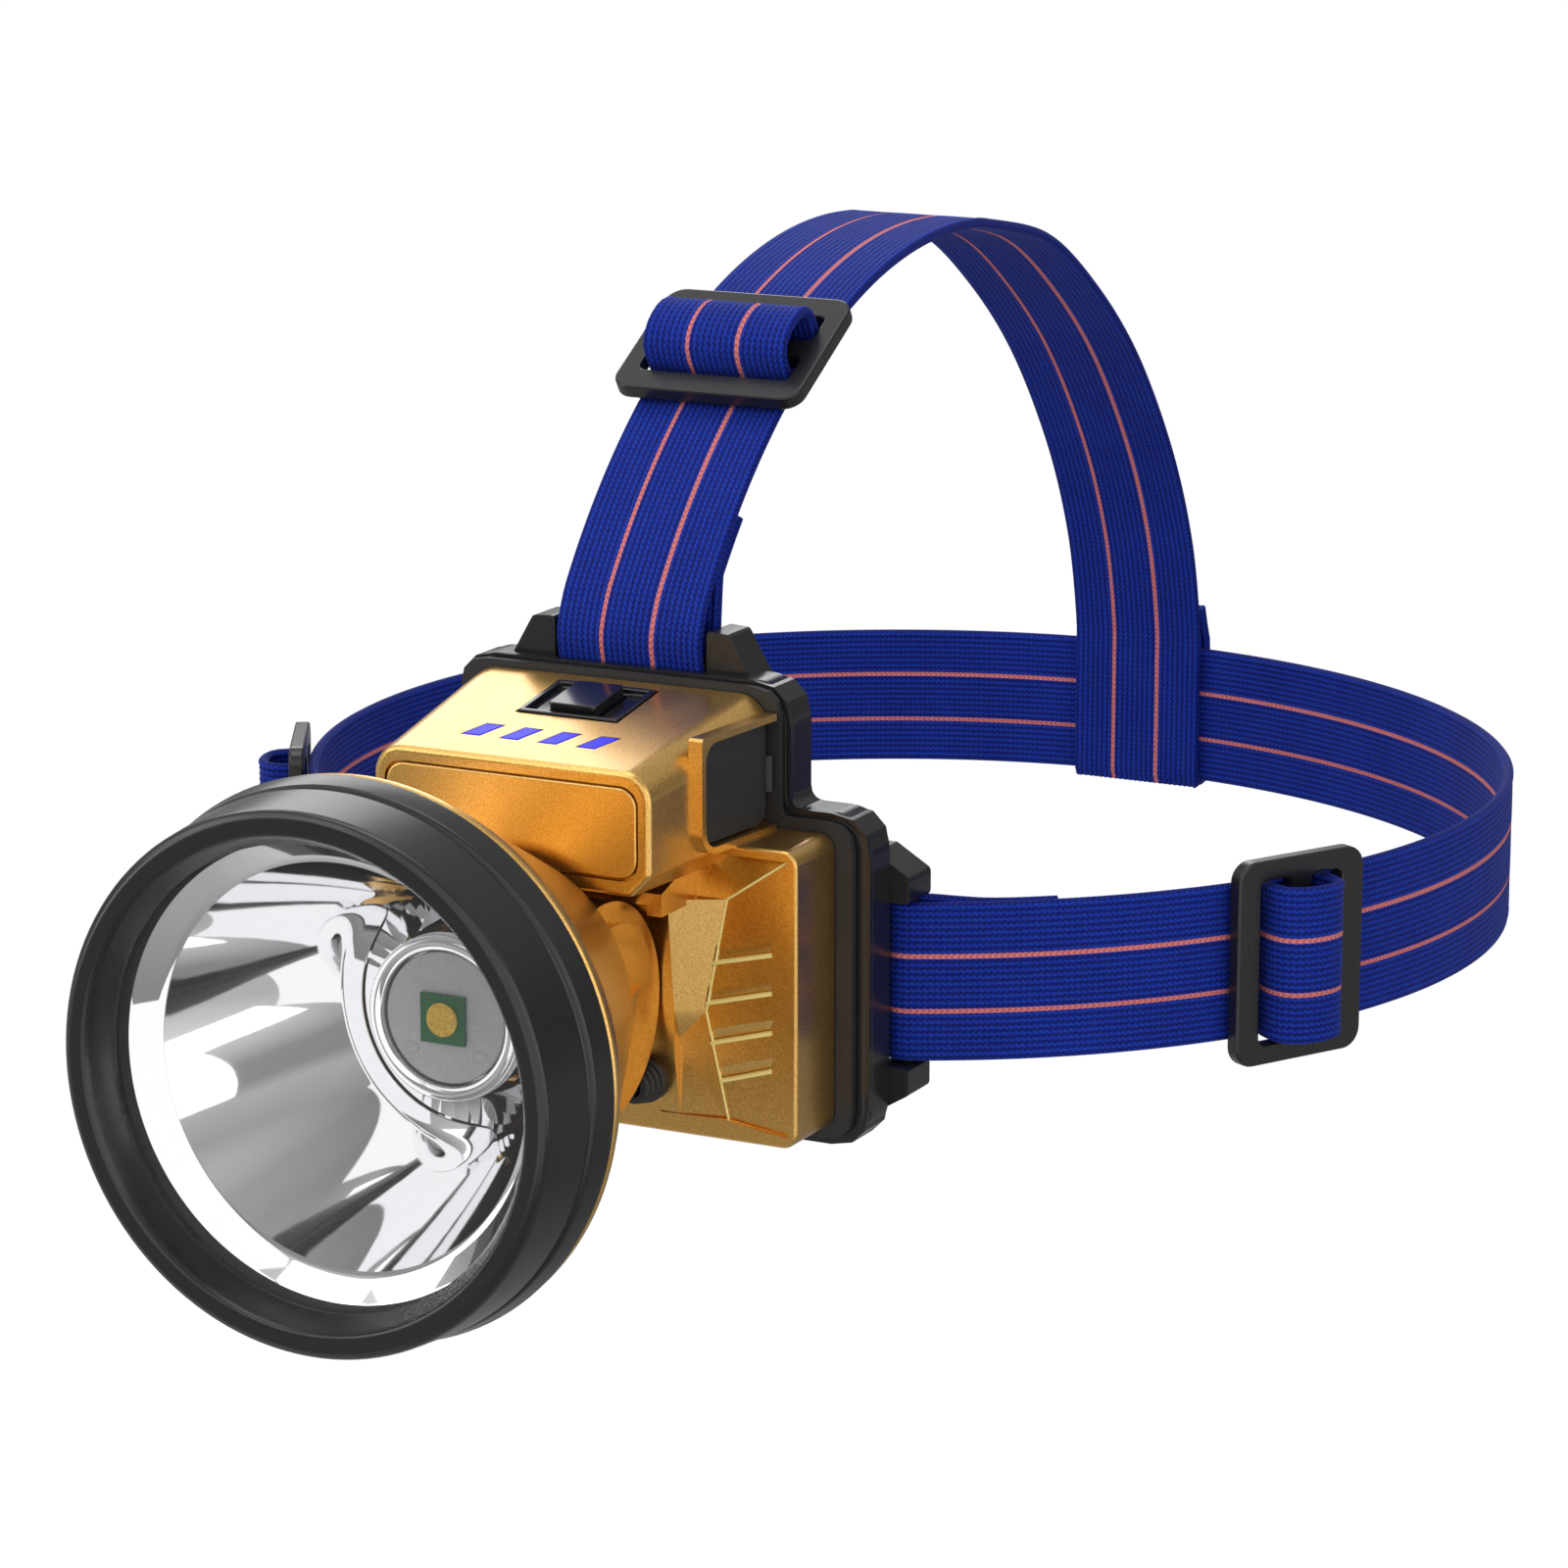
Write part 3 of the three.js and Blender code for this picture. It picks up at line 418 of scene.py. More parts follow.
def webbing():
    web = Finish(
        "blue_webbing", (0.005, 0.015, 0.22), 0.8, specular_ior_level=0.2, sheen_weight=0.06,
        sheen_roughness=0.4,
    )
    split = web.node("SeparateXYZ")
    web.link(web.node("UVMap", uv_map="strap").outputs["UV"], split.inputs[0])
    along, across = split.outputs["X"], split.outputs["Y"]
    rib_turn = web.math("MULTIPLY", across, 2 * pi * RIBS / WEB_WIDTH)
    rib = web.math("MULTIPLY_ADD", web.math("SINE", rib_turn), 0.5, 0.5)
    # A V knit: the phase along the strap is shifted back and forth with each rib.
    shift = web.math("PINGPONG", web.math("MULTIPLY", across, RIBS / WEB_WIDTH), 0.5)
    lead = web.math("MULTIPLY", shift, 2 * pi * KNIT_LEAN)
    knit_turn = web.math("MULTIPLY_ADD", along, 2 * pi / KNIT_PITCH, lead)
    knit = web.math("MULTIPLY_ADD", web.math("SINE", knit_turn), 0.5, 0.5)
    fuzz = web.noise(0.6 * MM, 3.0)
    wear = web.noise(12 * MM, 2.0)
    # The blue is partly painted shade and highlight: darker in the grooves between ribs and between
    # stitches, lighter on their crests. The fine fuzz and the wider wear noise add real tone.
    lit = web.math("ADD", web.math("MULTIPLY", rib, 0.45), web.math("MULTIPLY", knit, 0.3))
    lit = web.math("ADD", lit, web.math("MULTIPLY", fuzz, 0.3))
    lit = web.math("ADD", lit, web.math("MULTIPLY_ADD", wear, 0.2, -0.1))
    blue = web.ramp(
        lit, (0.15, (0.001, 0.004, 0.07)), (0.5, (0.002, 0.015, 0.24)), (0.9, (0.008, 0.045, 0.42)),
    )
    for place in THREAD_PLACES:
        offset = web.math("ABSOLUTE", web.math("SUBTRACT", across, place * WEB_WIDTH))
        on_thread = web.math("LESS_THAN", offset, THREAD_WIDTH / 2)
        # The coral threads get the same painted shade between their stitches.
        coral = web.ramp(knit, (0.1, (0.5, 0.12, 0.13)), (0.9, (0.72, 0.23, 0.22)))
        blue = web.mix(on_thread, blue, coral)
    web.link(blue, web.shader.inputs["Base Color"])
    height = web.math("ADD", web.math("MULTIPLY", rib, 0.5), web.math("MULTIPLY", knit, 0.5))
    height = web.math("ADD", height, web.math("MULTIPLY", fuzz, 0.4))
    web.bump(height, 0.16 * MM, 0.75)
    return web.material


WEBBING = webbing()
print("made", WEBBING.name)

# %% [markdown]
# ## Turning a bmesh into a piece
# Every new piece ends the same way: it becomes an object at the origin with its place in its mesh,
# it rides on a body, and the imported nodes that it stands for are hidden. A small bevel on its sharp
# edges catches the light as moulded edges do. Weighted normals keep the flat faces flat beside it.

# %% Piece helper
def piece(name, bm, material, body, replaces=(), edge=0.0, sharp=32):
    bmesh.ops.remove_doubles(bm, verts=bm.verts, dist=1e-6)
    bmesh.ops.recalc_face_normals(bm, faces=bm.faces)
    mesh = bpy.data.meshes.new(name)
    bm.to_mesh(mesh)
    bm.free()
    return dress(name, mesh, material, body, replaces, edge, sharp)


def dress(name, mesh, material, body, replaces=(), edge=0.0, sharp=32):
    mesh.shade_smooth()
    mesh.set_sharp_from_angle(angle=radians(sharp))
    mesh.materials.clear()
    mesh.materials.append(material)
    made = bpy.data.objects.new(name, mesh)
    bpy.context.scene.collection.objects.link(made)
    if edge:
        bevel = made.modifiers.new("moulded_edge", "BEVEL")
        bevel.width = edge
        bevel.segments = 3
        bevel.limit_method = "ANGLE"
        bevel.angle_limit = radians(sharp)
        weighted = made.modifiers.new("flat_faces", "WEIGHTED_NORMAL")
        weighted.keep_sharp = True
    if body:
        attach(made, body)
    if replaces:
        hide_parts(*([replaces] if isinstance(replaces, str) else replaces))
    print(f"{name}: {len(mesh.vertices)} vertices on {body or 'two bodies'}")
    return made


# %% [markdown]
# ## The straps
# A strap is a flat section carried along a path. A curve with a bevel object could do it, but then
# the pattern has no even scale. Here one grid is laid out flat: one way runs round the section, the
# other runs along the strap, and each vertex then moves to its place on the path. The ribs are in
# the section itself, so they show at the strap's outline too.

# %% Strap helper
WEB_THICK = 1.6 * MM
AROUND = 2 * RIBS * 3 + 6  # points round the section
STEP = 1.7 * MM


def even_points(path, step):
    """The same line through the points, with its points a step apart, and its length."""
    far = [0.0]
    for a, b in zip(path, path[1:]):
        far.append(far[-1] + (b - a).length)
    count = max(8, round(far[-1] / step))
    spaced, i = [], 0
    for k in range(count + 1):
        at = far[-1] * k / count
        while i < len(path) - 2 and far[i + 1] < at:
            i += 1
        share = (at - far[i]) / max(far[i + 1] - far[i], 1e-12)
        spaced.append(path[i].lerp(path[i + 1], share))
    return spaced, far[-1]


def section_point(turn):
    """A point on the ribbed section for a turn from 0 to 1: (across, out), across from 0 to the width."""
    side = 1 if turn < 0.5 else -1
    share = turn * 2 if turn < 0.5 else 2 - turn * 2
    across = WEB_WIDTH * share
    from_edge = min(across, WEB_WIDTH - across)
    rounding = sqrt(max(0.0, 1 - max(0.0, 1 - from_edge / (0.9 * MM)) ** 2))
    rib = 0.075 * MM * sin(2 * pi * RIBS * share)
    selvedge = 0.12 * MM if from_edge < 1.3 * MM else 0.0
    return across, side * rounding * (WEB_THICK / 2 - 0.08 * MM + rib + selvedge)


def strap(name, path, widthwise, body, replaces):
    """Webbing along a path; widthwise is the direction across it."""
    line, length = even_points(path, STEP)
    rows = len(line) - 1
    bm = bmesh.new()
    bmesh.ops.create_grid(bm, x_segments=rows, y_segments=AROUND, size=1)
    unrolled = bm.loops.layers.uv.new("strap")
    place = {}
    for vert in bm.verts:
        row, turn = round((vert.co.x + 1) / 2 * rows), (vert.co.y + 1) / 2
        before, after = line[max(row - 1, 0)], line[min(row + 1, rows)]
        out = widthwise.cross((after - before).normalized())
        across, lift = section_point(turn % 1.0)
        place[vert] = (length * row / rows, across)
        vert.co = line[row] + widthwise * (across - WEB_WIDTH / 2) + out * lift
    for face in bm.faces:
        for corner in face.loops:
            corner[unrolled].uv = place[corner.vert]
    bmesh.ops.remove_doubles(bm, verts=bm.verts, dist=1e-6)
    bmesh.ops.holes_fill(bm, edges=[e for e in bm.edges if e.is_boundary], sides=0)
    made = piece(name, bm, WEBBING, body, replaces, sharp=60)
    return made, length


def arc(centre, radius, start, end, point, steps):
    """Points on an arc; point(centre, radius, angle) says in which plane the angle turns."""
    return [point(centre, radius, start + (end - start) * i / steps) for i in range(steps + 1)]


def in_plan(centre, radius, angle):
    """In plan, with the angle from the front towards +X."""
    return Vector((centre[0] + radius * sin(angle), centre[1] - radius * cos(angle), centre[2]))


print("strap helper ready, section of", AROUND, "points")

# %% [markdown]
# ## The headband
# The band starts at its sewn end inside the right lug, folds round the lug's bar, goes round the
# head and ends the same way on the left. The fold is half a turn of its own arc, so the path is a
# short easing piece, that arc and one long circle, mirrored to the other side.

# %% Headband
UP, RIGHT = Vector((0, 0, 1)), Vector((1, 0, 0))
BAND_RADIUS = 102.3 * MM
FOLD_RADIUS = 2.9 * MM
LUG_ANGLE = radians(25.6)
SEWN_ANGLE = 0.23  # radians of doubled webbing behind a lug
CENTRE = Vector((0, 0, 0))


def half_band():
    """The path from the sewn end in the right lug to the middle of the back."""
    returned = BAND_RADIUS - WEB_THICK - 0.3 * MM
    path = []
    for i in range(7):
        back = 1 - i / 6
        ease = min(1.0, 1.6 * back) ** 2 * (3 - 2 * min(1.0, 1.6 * back))
        inner = BAND_RADIUS - 2 * FOLD_RADIUS
        path.append(in_plan(CENTRE, inner + (returned - inner) * ease, LUG_ANGLE + SEWN_ANGLE * back))
    fold = in_plan(CENTRE, BAND_RADIUS - FOLD_RADIUS, LUG_ANGLE)
    path += arc(fold, FOLD_RADIUS, LUG_ANGLE - pi, LUG_ANGLE, in_plan, 16)[1:-1]
    return path + arc(CENTRE, BAND_RADIUS, LUG_ANGLE, pi, in_plan, 120)


right_half = half_band()
left_half = [Vector((-p.x, p.y, p.z)) for p in reversed(right_half[:-1])]
headband, band_length = strap("headband_webbing", right_half + left_half, UP, "housing", "headband")
print("headband is", round(band_length * 1000), "mm long")

# %% [markdown]
# ## The top strap
# The top strap folds round the bar at the top of the housing, runs over the head and ends in a loop
# that goes under the headband. Its front is an arc. Its back is a smooth line through a few listed
# points.

# %% Top strap
CROWN = Vector((0, -7.9, -4.5)) * MM
CROWN_RADIUS = 109.4 * MM
TOP_BAR = (-96.9, 47.3)
REAR_CURVE = [
    (28.1, 98.9), (48.8, 87.8), (68, 72.6), (84.5, 52.9), (94.4, 34.8), (99, 18), (99.5, 8), (99.5, -13.2),
]
REAR_END = [(104.2, -13.2), (104.2, 0), (104.2, 13), (103, 16.5), (101.6, 20.5)]


def side_point(pair):
    """A point in the strap's middle plane from (y, z) in millimetres."""
    return Vector((0, pair[0], pair[1])) * MM


def in_profile(centre, radius, angle):
    """In the middle plane, with the angle upwards from the front."""
    return Vector((centre[0], centre[1] - radius * cos(angle), centre[2] + radius * sin(angle)))


def smooth_through(points, per_span=12):
    """A Catmull-Rom line through the points."""
    held = [points[0], *points, points[-1]]
    line = []
    for p0, p1, p2, p3 in zip(held, held[1:], held[2:], held[3:]):
        for k in range(per_span):
            t = k / per_span
            line.append(
                0.5 * (2 * p1 + (p2 - p0) * t + (2 * p0 - 5 * p1 + 4 * p2 - p3) * t ** 2
                       + (3 * p1 - p0 - 3 * p2 + p3) * t ** 3)
            )
    return line + [points[-1]]


def top_strap_path():
    y, z = TOP_BAR
    inner = arc(CROWN, CROWN_RADIUS - WEB_THICK - 0.3 * MM, radians(43), radians(37.5), in_profile, 4)
    down = smooth_through([inner[-1], side_point((y + 3, z + 6)), side_point((y + 2.7, z))], 5)
    under_bar = arc(side_point(TOP_BAR), 2.7 * MM, -pi, 0, in_profile, 12)
    start = in_profile(CROWN, CROWN_RADIUS, radians(34.5))
    up = smooth_through([under_bar[-1], side_point((y - 3.4, z + 4.5)), start], 6)
    crown = arc(CROWN, CROWN_RADIUS, radians(35.5), radians(95), in_profile, 60)
    rear = smooth_through([crown[-1]] + [side_point(p) for p in REAR_CURVE])
    under_band = arc(side_point((101.85, -13.2)), -2.35 * MM, 0, -pi, in_profile, 12)
    end = smooth_through([side_point(p) for p in REAR_END], 8)
    return inner[:-1] + down[:-1] + under_bar[:-1] + up + crown + rear[1:] + under_band[1:-1] + end


top_webbing, top_length = strap("top_strap_webbing", top_strap_path(), RIGHT, "housing", "top_strap")
print("top strap is", round(top_length * 1000), "mm long")

# %% [markdown]
# ## Sliders and their slack
# Each slider is a flat moulded frame with three bars, and a short arch of webbing stands up over its
# middle bar. The frame could be cut from a plate. Here it is a grid of cells with the two windows
# left out, then given its thickness, and its corners are bevelled round. The piece is made at the
# front of a circle and then turned to its place, with the turn applied to the mesh.

# %% Sliders
SLIDER_LENGTH, SLIDER_WIDTH, SLIDER_THICK = 25 * MM, 33 * MM, 2.5 * MM
END_BAR, MIDDLE_BAR, SIDE_RAIL = 4.5 * MM, 4 * MM, 3.3 * MM
FRAME_CORNER, WINDOW_CORNER = 3.6 * MM, 1.3 * MM
BAND_SLIDER_ANGLE, TOP_SLIDER_ANGLE = radians(61), radians(59.2)


def slider_frame(outer_radius):
    """The flat frame, in front of a circle of that radius, with its length along X."""
    columns = [-SLIDER_LENGTH / 2, -SLIDER_LENGTH / 2 + END_BAR, -MIDDLE_BAR / 2]
    columns += [-x for x in reversed(columns)]
    rows = [-SLIDER_WIDTH / 2, -SLIDER_WIDTH / 2 + SIDE_RAIL]
    rows += [-z for z in reversed(rows)]
    bm = bmesh.new()
    bmesh.ops.create_grid(bm, x_segments=5, y_segments=3, size=1)
    for vert in bm.verts:
        column, row = round((vert.co.x + 1) / 2 * 5), round((vert.co.y + 1) / 2 * 3)
        vert.co = Vector((columns[column], -outer_radius - 0.4 * MM, rows[row]))
    windows = [
        f for f in bm.faces
        if abs(f.calc_center_median().z) < SIDE_RAIL
        and MIDDLE_BAR / 2 < abs(f.calc_center_median().x) < SLIDER_LENGTH / 2 - END_BAR
    ]
    bmesh.ops.delete(bm, geom=windows, context="FACES")
    grown = bmesh.ops.extrude_face_region(bm, geom=bm.faces[:])["geom"]
    lifted = [g for g in grown if isinstance(g, bmesh.types.BMVert)]
    bmesh.ops.translate(bm, verts=lifted, vec=(0, -SLIDER_THICK, 0))
    bmesh.ops.recalc_face_normals(bm, faces=bm.faces)
    upright = [e for e in bm.edges if abs(e.verts[0].co.y - e.verts[1].co.y) > SLIDER_THICK / 2]
    outer = [e for e in upright if abs(e.verts[0].co.x) > 12 * MM and abs(e.verts[0].co.z) > 16 * MM]
    inner = [
        e for e in upright
        if abs(abs(e.verts[0].co.z) - rows[3] + SIDE_RAIL) < 0.1 * MM and abs(e.verts[0].co.x) < 9 * MM
    ]
    for corners, radius in ((outer, FRAME_CORNER), (inner, WINDOW_CORNER)):
        bmesh.ops.bevel(
            bm, geom=corners, offset=radius, offset_type="OFFSET", affect="EDGES", segments=6,
            profile=0.5, material=-1, clamp_overlap=True,
        )
    bmesh.ops.dissolve_limit(bm, angle_limit=radians(1), verts=bm.verts, edges=bm.edges)
    return bm


SLACK_ARCH = [(-5.2, 0), (-5.6, 3), (-5, 5.6), (-2.8, 7), (0, 7.4), (2.8, 7), (5, 5.6), (5.6, 3), (5.2, 0)]


def slack_path(outer_radius, turn):
    """The arch over the middle bar, at the slider's place."""
    base = outer_radius + 0.5 * MM
    points = [Vector((along * MM, -base - out * MM, 0)) for along, out in SLACK_ARCH]
    return [turn @ p for p in smooth_through(points)]


def slider_with_slack(where, outer_radius, turn):
    slider = "slider_" + where
    bm = slider_frame(outer_radius)
    bmesh.ops.transform(bm, matrix=turn, verts=bm.verts)
    piece(slider + "_frame", bm, BLACK_PLASTIC, slider, slider, edge=0.7 * MM)
    widthwise = (turn.to_3x3() @ UP).normalized()
    path = slack_path(outer_radius, turn)
    slack, length = strap("slack_webbing_" + where, path, widthwise, slider, "slack_loop_" + where)


for where, side in (("right", 1), ("left", -1)):
    round_head = Matrix.Rotation(side * BAND_SLIDER_ANGLE, 4, "Z")
    slider_with_slack(where, BAND_RADIUS + WEB_THICK / 2, round_head)
up_crown = Matrix.Rotation(-TOP_SLIDER_ANGLE, 4, "X")
on_crown = Matrix.Translation(CROWN) @ up_crown @ Matrix.Rotation(pi / 2, 4, "Y")
slider_with_slack("top", CROWN_RADIUS + WEB_THICK / 2, on_crown)

# %% [markdown]
# ## Turned pieces of the lamp head
# The bezel, the lens, the bowl and the collar are all round about the lamp's axis. Each is half an
# outline spun a full turn. A screw modifier would do it too, but the operator gives a finished mesh
# whose first and last rows are one. Depths are counted back from the bezel's front face.

# %% Spin helper
lens_low, lens_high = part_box("lens")
LAMP_Z = (lens_low.z + lens_high.z) / 2
LAMP_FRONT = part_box("bezel_ring")[0].y


def spun(profile, steps=128):
    """A bmesh spun about the lamp's axis from (radius, depth) in millimetres."""
    bm = bmesh.new()
    verts = [bm.verts.new((r * MM, LAMP_FRONT + d * MM, LAMP_Z)) for r, d in profile]
    pairs = list(zip(verts, verts[1:]))
    if profile[0][0] > 0:
        pairs.append((verts[-1], verts[0]))
    for pair in pairs:
        bm.edges.new(pair)
    bmesh.ops.spin(
        bm, geom=bm.verts[:] + bm.edges[:], cent=(0, 0, LAMP_Z), axis=(0, 1, 0), dvec=(0, 0, 0),
        angle=2 * pi, steps=steps, use_merge=True, use_duplicate=False,
    )
    bmesh.ops.remove_doubles(bm, verts=bm.verts, dist=1e-6)
    bmesh.ops.recalc_face_normals(bm, faces=bm.faces)
    return bm


print("lamp axis at z", round(LAMP_Z, 4), "front at y", round(LAMP_FRONT, 4))

# %% [markdown]
# ## Bezel, lens and bowl
# The bezel is one black moulding with a groove near its back. The bowl is a paraboloid, which sends
# the light of a source at its focus straight ahead, so its radius is the root of its depth. It has
# many rows, because a mirror shows each facet.

# %% Bezel, lens and bowl
# Outlines are lists of (radius, depth) in millimetres.
BEZEL = [
    (36.5, 0.1), (38.7, 0), (39.7, 0.6), (40.0, 1.3), (40.9, 10.3), (40.2, 10.7), (40.2, 11.4), (41.1, 11.8),
    (41.9, 15.4), (41.6, 16.4), (38.2, 16.4), (38.2, 5.2), (34.3, 5.2), (34.3, 4.3), (35.8, 0.9),
]
BOWL_DEPTH, BOWL_SPREAD, BOWL_MOUTH, BOWL_FLOOR = 53.9, 21.4, 11.6, 46.0
BOWL_ROWS, BOWL_WALL = 40, (1.3, 0.8)

piece("bezel", spun(BEZEL), BLACK_PLASTIC, "lamp_head", "bezel_ring", edge=0.28 * MM)
seal = spun([(34.7, 5.5), (37.6, 5.5), (37.6, 6.2), (34.7, 6.2)])
piece("lens_seal", seal, RUBBER, "lamp_head", "lens_gasket", edge=0.15 * MM)
glass = spun([(0, 6.5), (37.0, 6.5), (37.6, 6.9), (37.6, 7.9), (37.0, 8.3), (0, 8.3)])
piece("lens_disc", glass, CLEAR_LENS, "lamp_head", "lens")


def bowl_profile():
    """The bowl's flange, its mirror face from mouth to floor, and its back."""
    face = []
    for i in range(BOWL_ROWS + 1):
        depth = BOWL_MOUTH + (BOWL_FLOOR - BOWL_MOUTH) * i / BOWL_ROWS
        face.append((sqrt(BOWL_SPREAD * (BOWL_DEPTH - depth)), depth))
    back = [(r + BOWL_WALL[0], d + BOWL_WALL[1]) for r, d in reversed(face[::4])]
    flange = [(37.6, 8.6), (34.2, 8.6), (33.9, 8.8), (31.2, 11.2), (30.6, 11.5)]
    return [*flange, *face, *back, (33.4, 9.9), (37.6, 9.9)]


piece("bowl", spun(bowl_profile(), 192), MIRROR, "lamp_head", "reflector", sharp=25)

# %% [markdown]
# ## Collar, board, package and phosphor
# A bright collar stands in the bottom of the bowl round a grey board with two solder pads. In front
# of the board sit the green package and a low dome of yellow phosphor.

# %% Collar and light source
LED_PLANE = 40.4
BOARD_BACK = 42.1
COLLAR = [
    (10.3, BOARD_BACK), (10.3, 40.3), (10.5, 39.7), (11.0, 39.3), (11.6, 39.2), (12.2, 39.4),
    (12.6, 39.9), (12.7, 40.6), (12.7, BOARD_BACK),
]
PAD_X, PAD_Z = 5.8, -5.2

piece("collar", spun(COLLAR, 96), MIRROR, "lamp_head", "led_collar", edge=0.15 * MM)


def led_board():
    """The board with two low solder pads."""
    outline = [(0, LED_PLANE), (9.8, LED_PLANE), (10, LED_PLANE + 0.2), (10, BOARD_BACK), (0, BOARD_BACK)]
    bm = spun(outline, 96)
    pad_y = LAMP_FRONT + (LED_PLANE - 0.02) * MM
    for x in (-PAD_X, PAD_X):
        pad = bmesh.ops.create_uvsphere(bm, u_segments=20, v_segments=10, radius=1.0 * MM)["verts"]
        bmesh.ops.scale(bm, verts=pad, vec=(1.3, 0.3, 1))
        bmesh.ops.translate(bm, verts=pad, vec=(x * MM, pad_y, LAMP_Z + PAD_Z * MM))
    return bm


def cube_between(low, high):
    """A box as a bmesh, from its lowest to its highest corner in metres."""
    bm = bmesh.new()
    bmesh.ops.create_cube(bm, size=1)
    low, high = Vector(low), Vector(high)
    bmesh.ops.scale(bm, verts=bm.verts, vec=high - low)
    bmesh.ops.translate(bm, verts=bm.verts, vec=(low + high) / 2)
    return bm


def chip():
    """The square package, with a shallow tray in its front."""
    half = 3.75 * MM
    front, back = [LAMP_FRONT + (LED_PLANE - above) * MM for above in (0.9, 0.3)]
    bm = cube_between((-half, front, LAMP_Z - half), (half, back, LAMP_Z + half))
    face = min(bm.faces, key=lambda f: f.calc_center_median().y)
    bmesh.ops.inset_individual(bm, faces=[face], thickness=0.35 * MM, depth=-0.08 * MM)
    return bm


piece("light_board", led_board(), BOARD_GREY, "lamp_head", "led_board", edge=0.1 * MM)
piece("light_package", chip(), CHIP_GREEN, "lamp_head", "led_package", edge=0.12 * MM)
dome = [(0, LED_PLANE - 1.5), (1.0, LED_PLANE - 1.46), (1.9, LED_PLANE - 1.36), (2.5, LED_PLANE - 1.22),
        (2.62, LED_PLANE - 1.0), (0, LED_PLANE - 1.0)]
piece("light_phosphor", spun(dome, 48), PHOSPHOR, "lamp_head", "led_phosphor")

# %% [markdown]
# ## Joining and cutting closed shapes
# The housing and the cup are mouldings with a lot of straight pockets. Modelling them as one mesh by
# hand would mix everything up, so closed shapes are joined and cut by booleans, one step at a time,
# and the bevel comes last, on the result. That is also how a mould is cut.

# %% Boolean helpers
COVER_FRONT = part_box("back_cover")[0].y  # the plane between the housing and its back cover


def in_front(point):
    """A place in metres from one in millimetres whose y counts from the cover's front plane."""
    return Vector(point) * MM + Vector((0, COVER_FRONT, 0))


def loose(bm):
    """A bmesh as a plain object, for one boolean step."""
    mesh = bpy.data.meshes.new("loose")
    bmesh.ops.recalc_face_normals(bm, faces=bm.faces)
    bm.to_mesh(mesh)
    bm.free()
    made = bpy.data.objects.new("loose", mesh)
    bpy.context.scene.collection.objects.link(made)
    return made


def worked(base, *steps):
    """A bmesh after some steps, each ("UNION" or "DIFFERENCE", bmesh)."""
    target = loose(base)
    for operation, shape in steps:
        tool = loose(shape)
        step = target.modifiers.new("step", "BOOLEAN")
        step.operation, step.object, step.solver = operation, tool, "EXACT"
        graph = bpy.context.evaluated_depsgraph_get()
        result = bpy.data.meshes.new_from_object(target.evaluated_get(graph))
        target.modifiers.clear()
        target.data = result
        bpy.data.objects.remove(tool)
    bm = bmesh.new()
    bm.from_mesh(target.data)
    bpy.data.objects.remove(target)
    bmesh.ops.remove_doubles(bm, verts=bm.verts, dist=2e-6)
    bmesh.ops.dissolve_limit(bm, angle_limit=radians(0.5), verts=bm.verts, edges=bm.edges)
    return bm


def block(x, y, z):
    """A box from three (low, high) pairs in millimetres; y counts from the cover's front plane."""
    return cube_between(in_front((x[0], y[0], z[0])), in_front((x[1], y[1], z[1])))


def prism(corners, y, axis="y", segments=6):
    """An outline of (u, v, corner radius) extruded between two places. It lies in x and z and runs
    along y, or lies in y and z and runs along x."""

    def place(u, v, w):
        return in_front((u, w, v) if axis == "y" else (w, u, v))

    bm = bmesh.new()
    verts = [bm.verts.new(place(u, v, y[0])) for u, v, _ in corners]
    bm.faces.new(verts)
    for radius in sorted({c[2] for c in corners if c[2] > 0}):
        rounded = [vert for vert, corner in zip(verts, corners) if corner[2] == radius]
        for vert in rounded:
            sides = [e.other_vert(vert).co - vert.co for e in vert.link_edges]
            half_angle = sides[0].angle(sides[1]) / 2
            reach = radius * MM / max(0.05, sin(half_angle)) * cos(half_angle)
            bmesh.ops.bevel(
                bm, geom=[vert], offset=max(reach, 1e-6), offset_type="OFFSET", affect="VERTICES",
                segments=segments, profile=0.5, material=-1,
            )
    grown = bmesh.ops.extrude_face_region(bm, geom=bm.faces[:])["geom"]
    far = [g for g in grown if isinstance(g, bmesh.types.BMVert)]
    bmesh.ops.translate(bm, verts=far, vec=place(0, 0, y[1]) - place(0, 0, y[0]))
    bmesh.ops.recalc_face_normals(bm, faces=bm.faces)
    return bm


def rectangle(u, v, radius=0.0):
    """An outline for prism from two (low, high) pairs."""
    return [(u[0], v[0], radius), (u[1], v[0], radius), (u[1], v[1], radius), (u[0], v[1], radius)]


def drum(radius, x, y, z, steps=64, axis="X"):
    """A cylinder along X between two x, about (y, z), or along Y between two y, about (x, z)."""
    bm = bmesh.new()
    if axis == "X":
        depth, centre = x[1] - x[0], ((x[0] + x[1]) / 2, y, z)
        turn = Matrix.Rotation(pi / 2, 4, "Y")
    else:
        depth, centre = y[1] - y[0], (x, (y[0] + y[1]) / 2, z)
        turn = Matrix.Rotation(pi / 2, 4, "X")
    bmesh.ops.create_cone(
        bm, cap_ends=True, segments=steps, radius1=radius * MM, radius2=radius * MM, depth=depth * MM,
    )
    bmesh.ops.transform(bm, matrix=Matrix.Translation(in_front(centre)) @ turn, verts=bm.verts)
    return bm


print("boolean helpers ready, cover front at y", round(COVER_FRONT, 4))

# %% [markdown]
# ## The front housing
# The housing is a narrow upper box on a wide lower box. The upper box grows towards its back, and
# its lower corners are cut off. On each side of the hinge the lower box's front is a faceted wing
# with a raised rim, a ridge from its top corner and four louvres. The wings are made once and
# mirrored. Places are in millimetres, and y counts from the cover's front plane, negative in front.

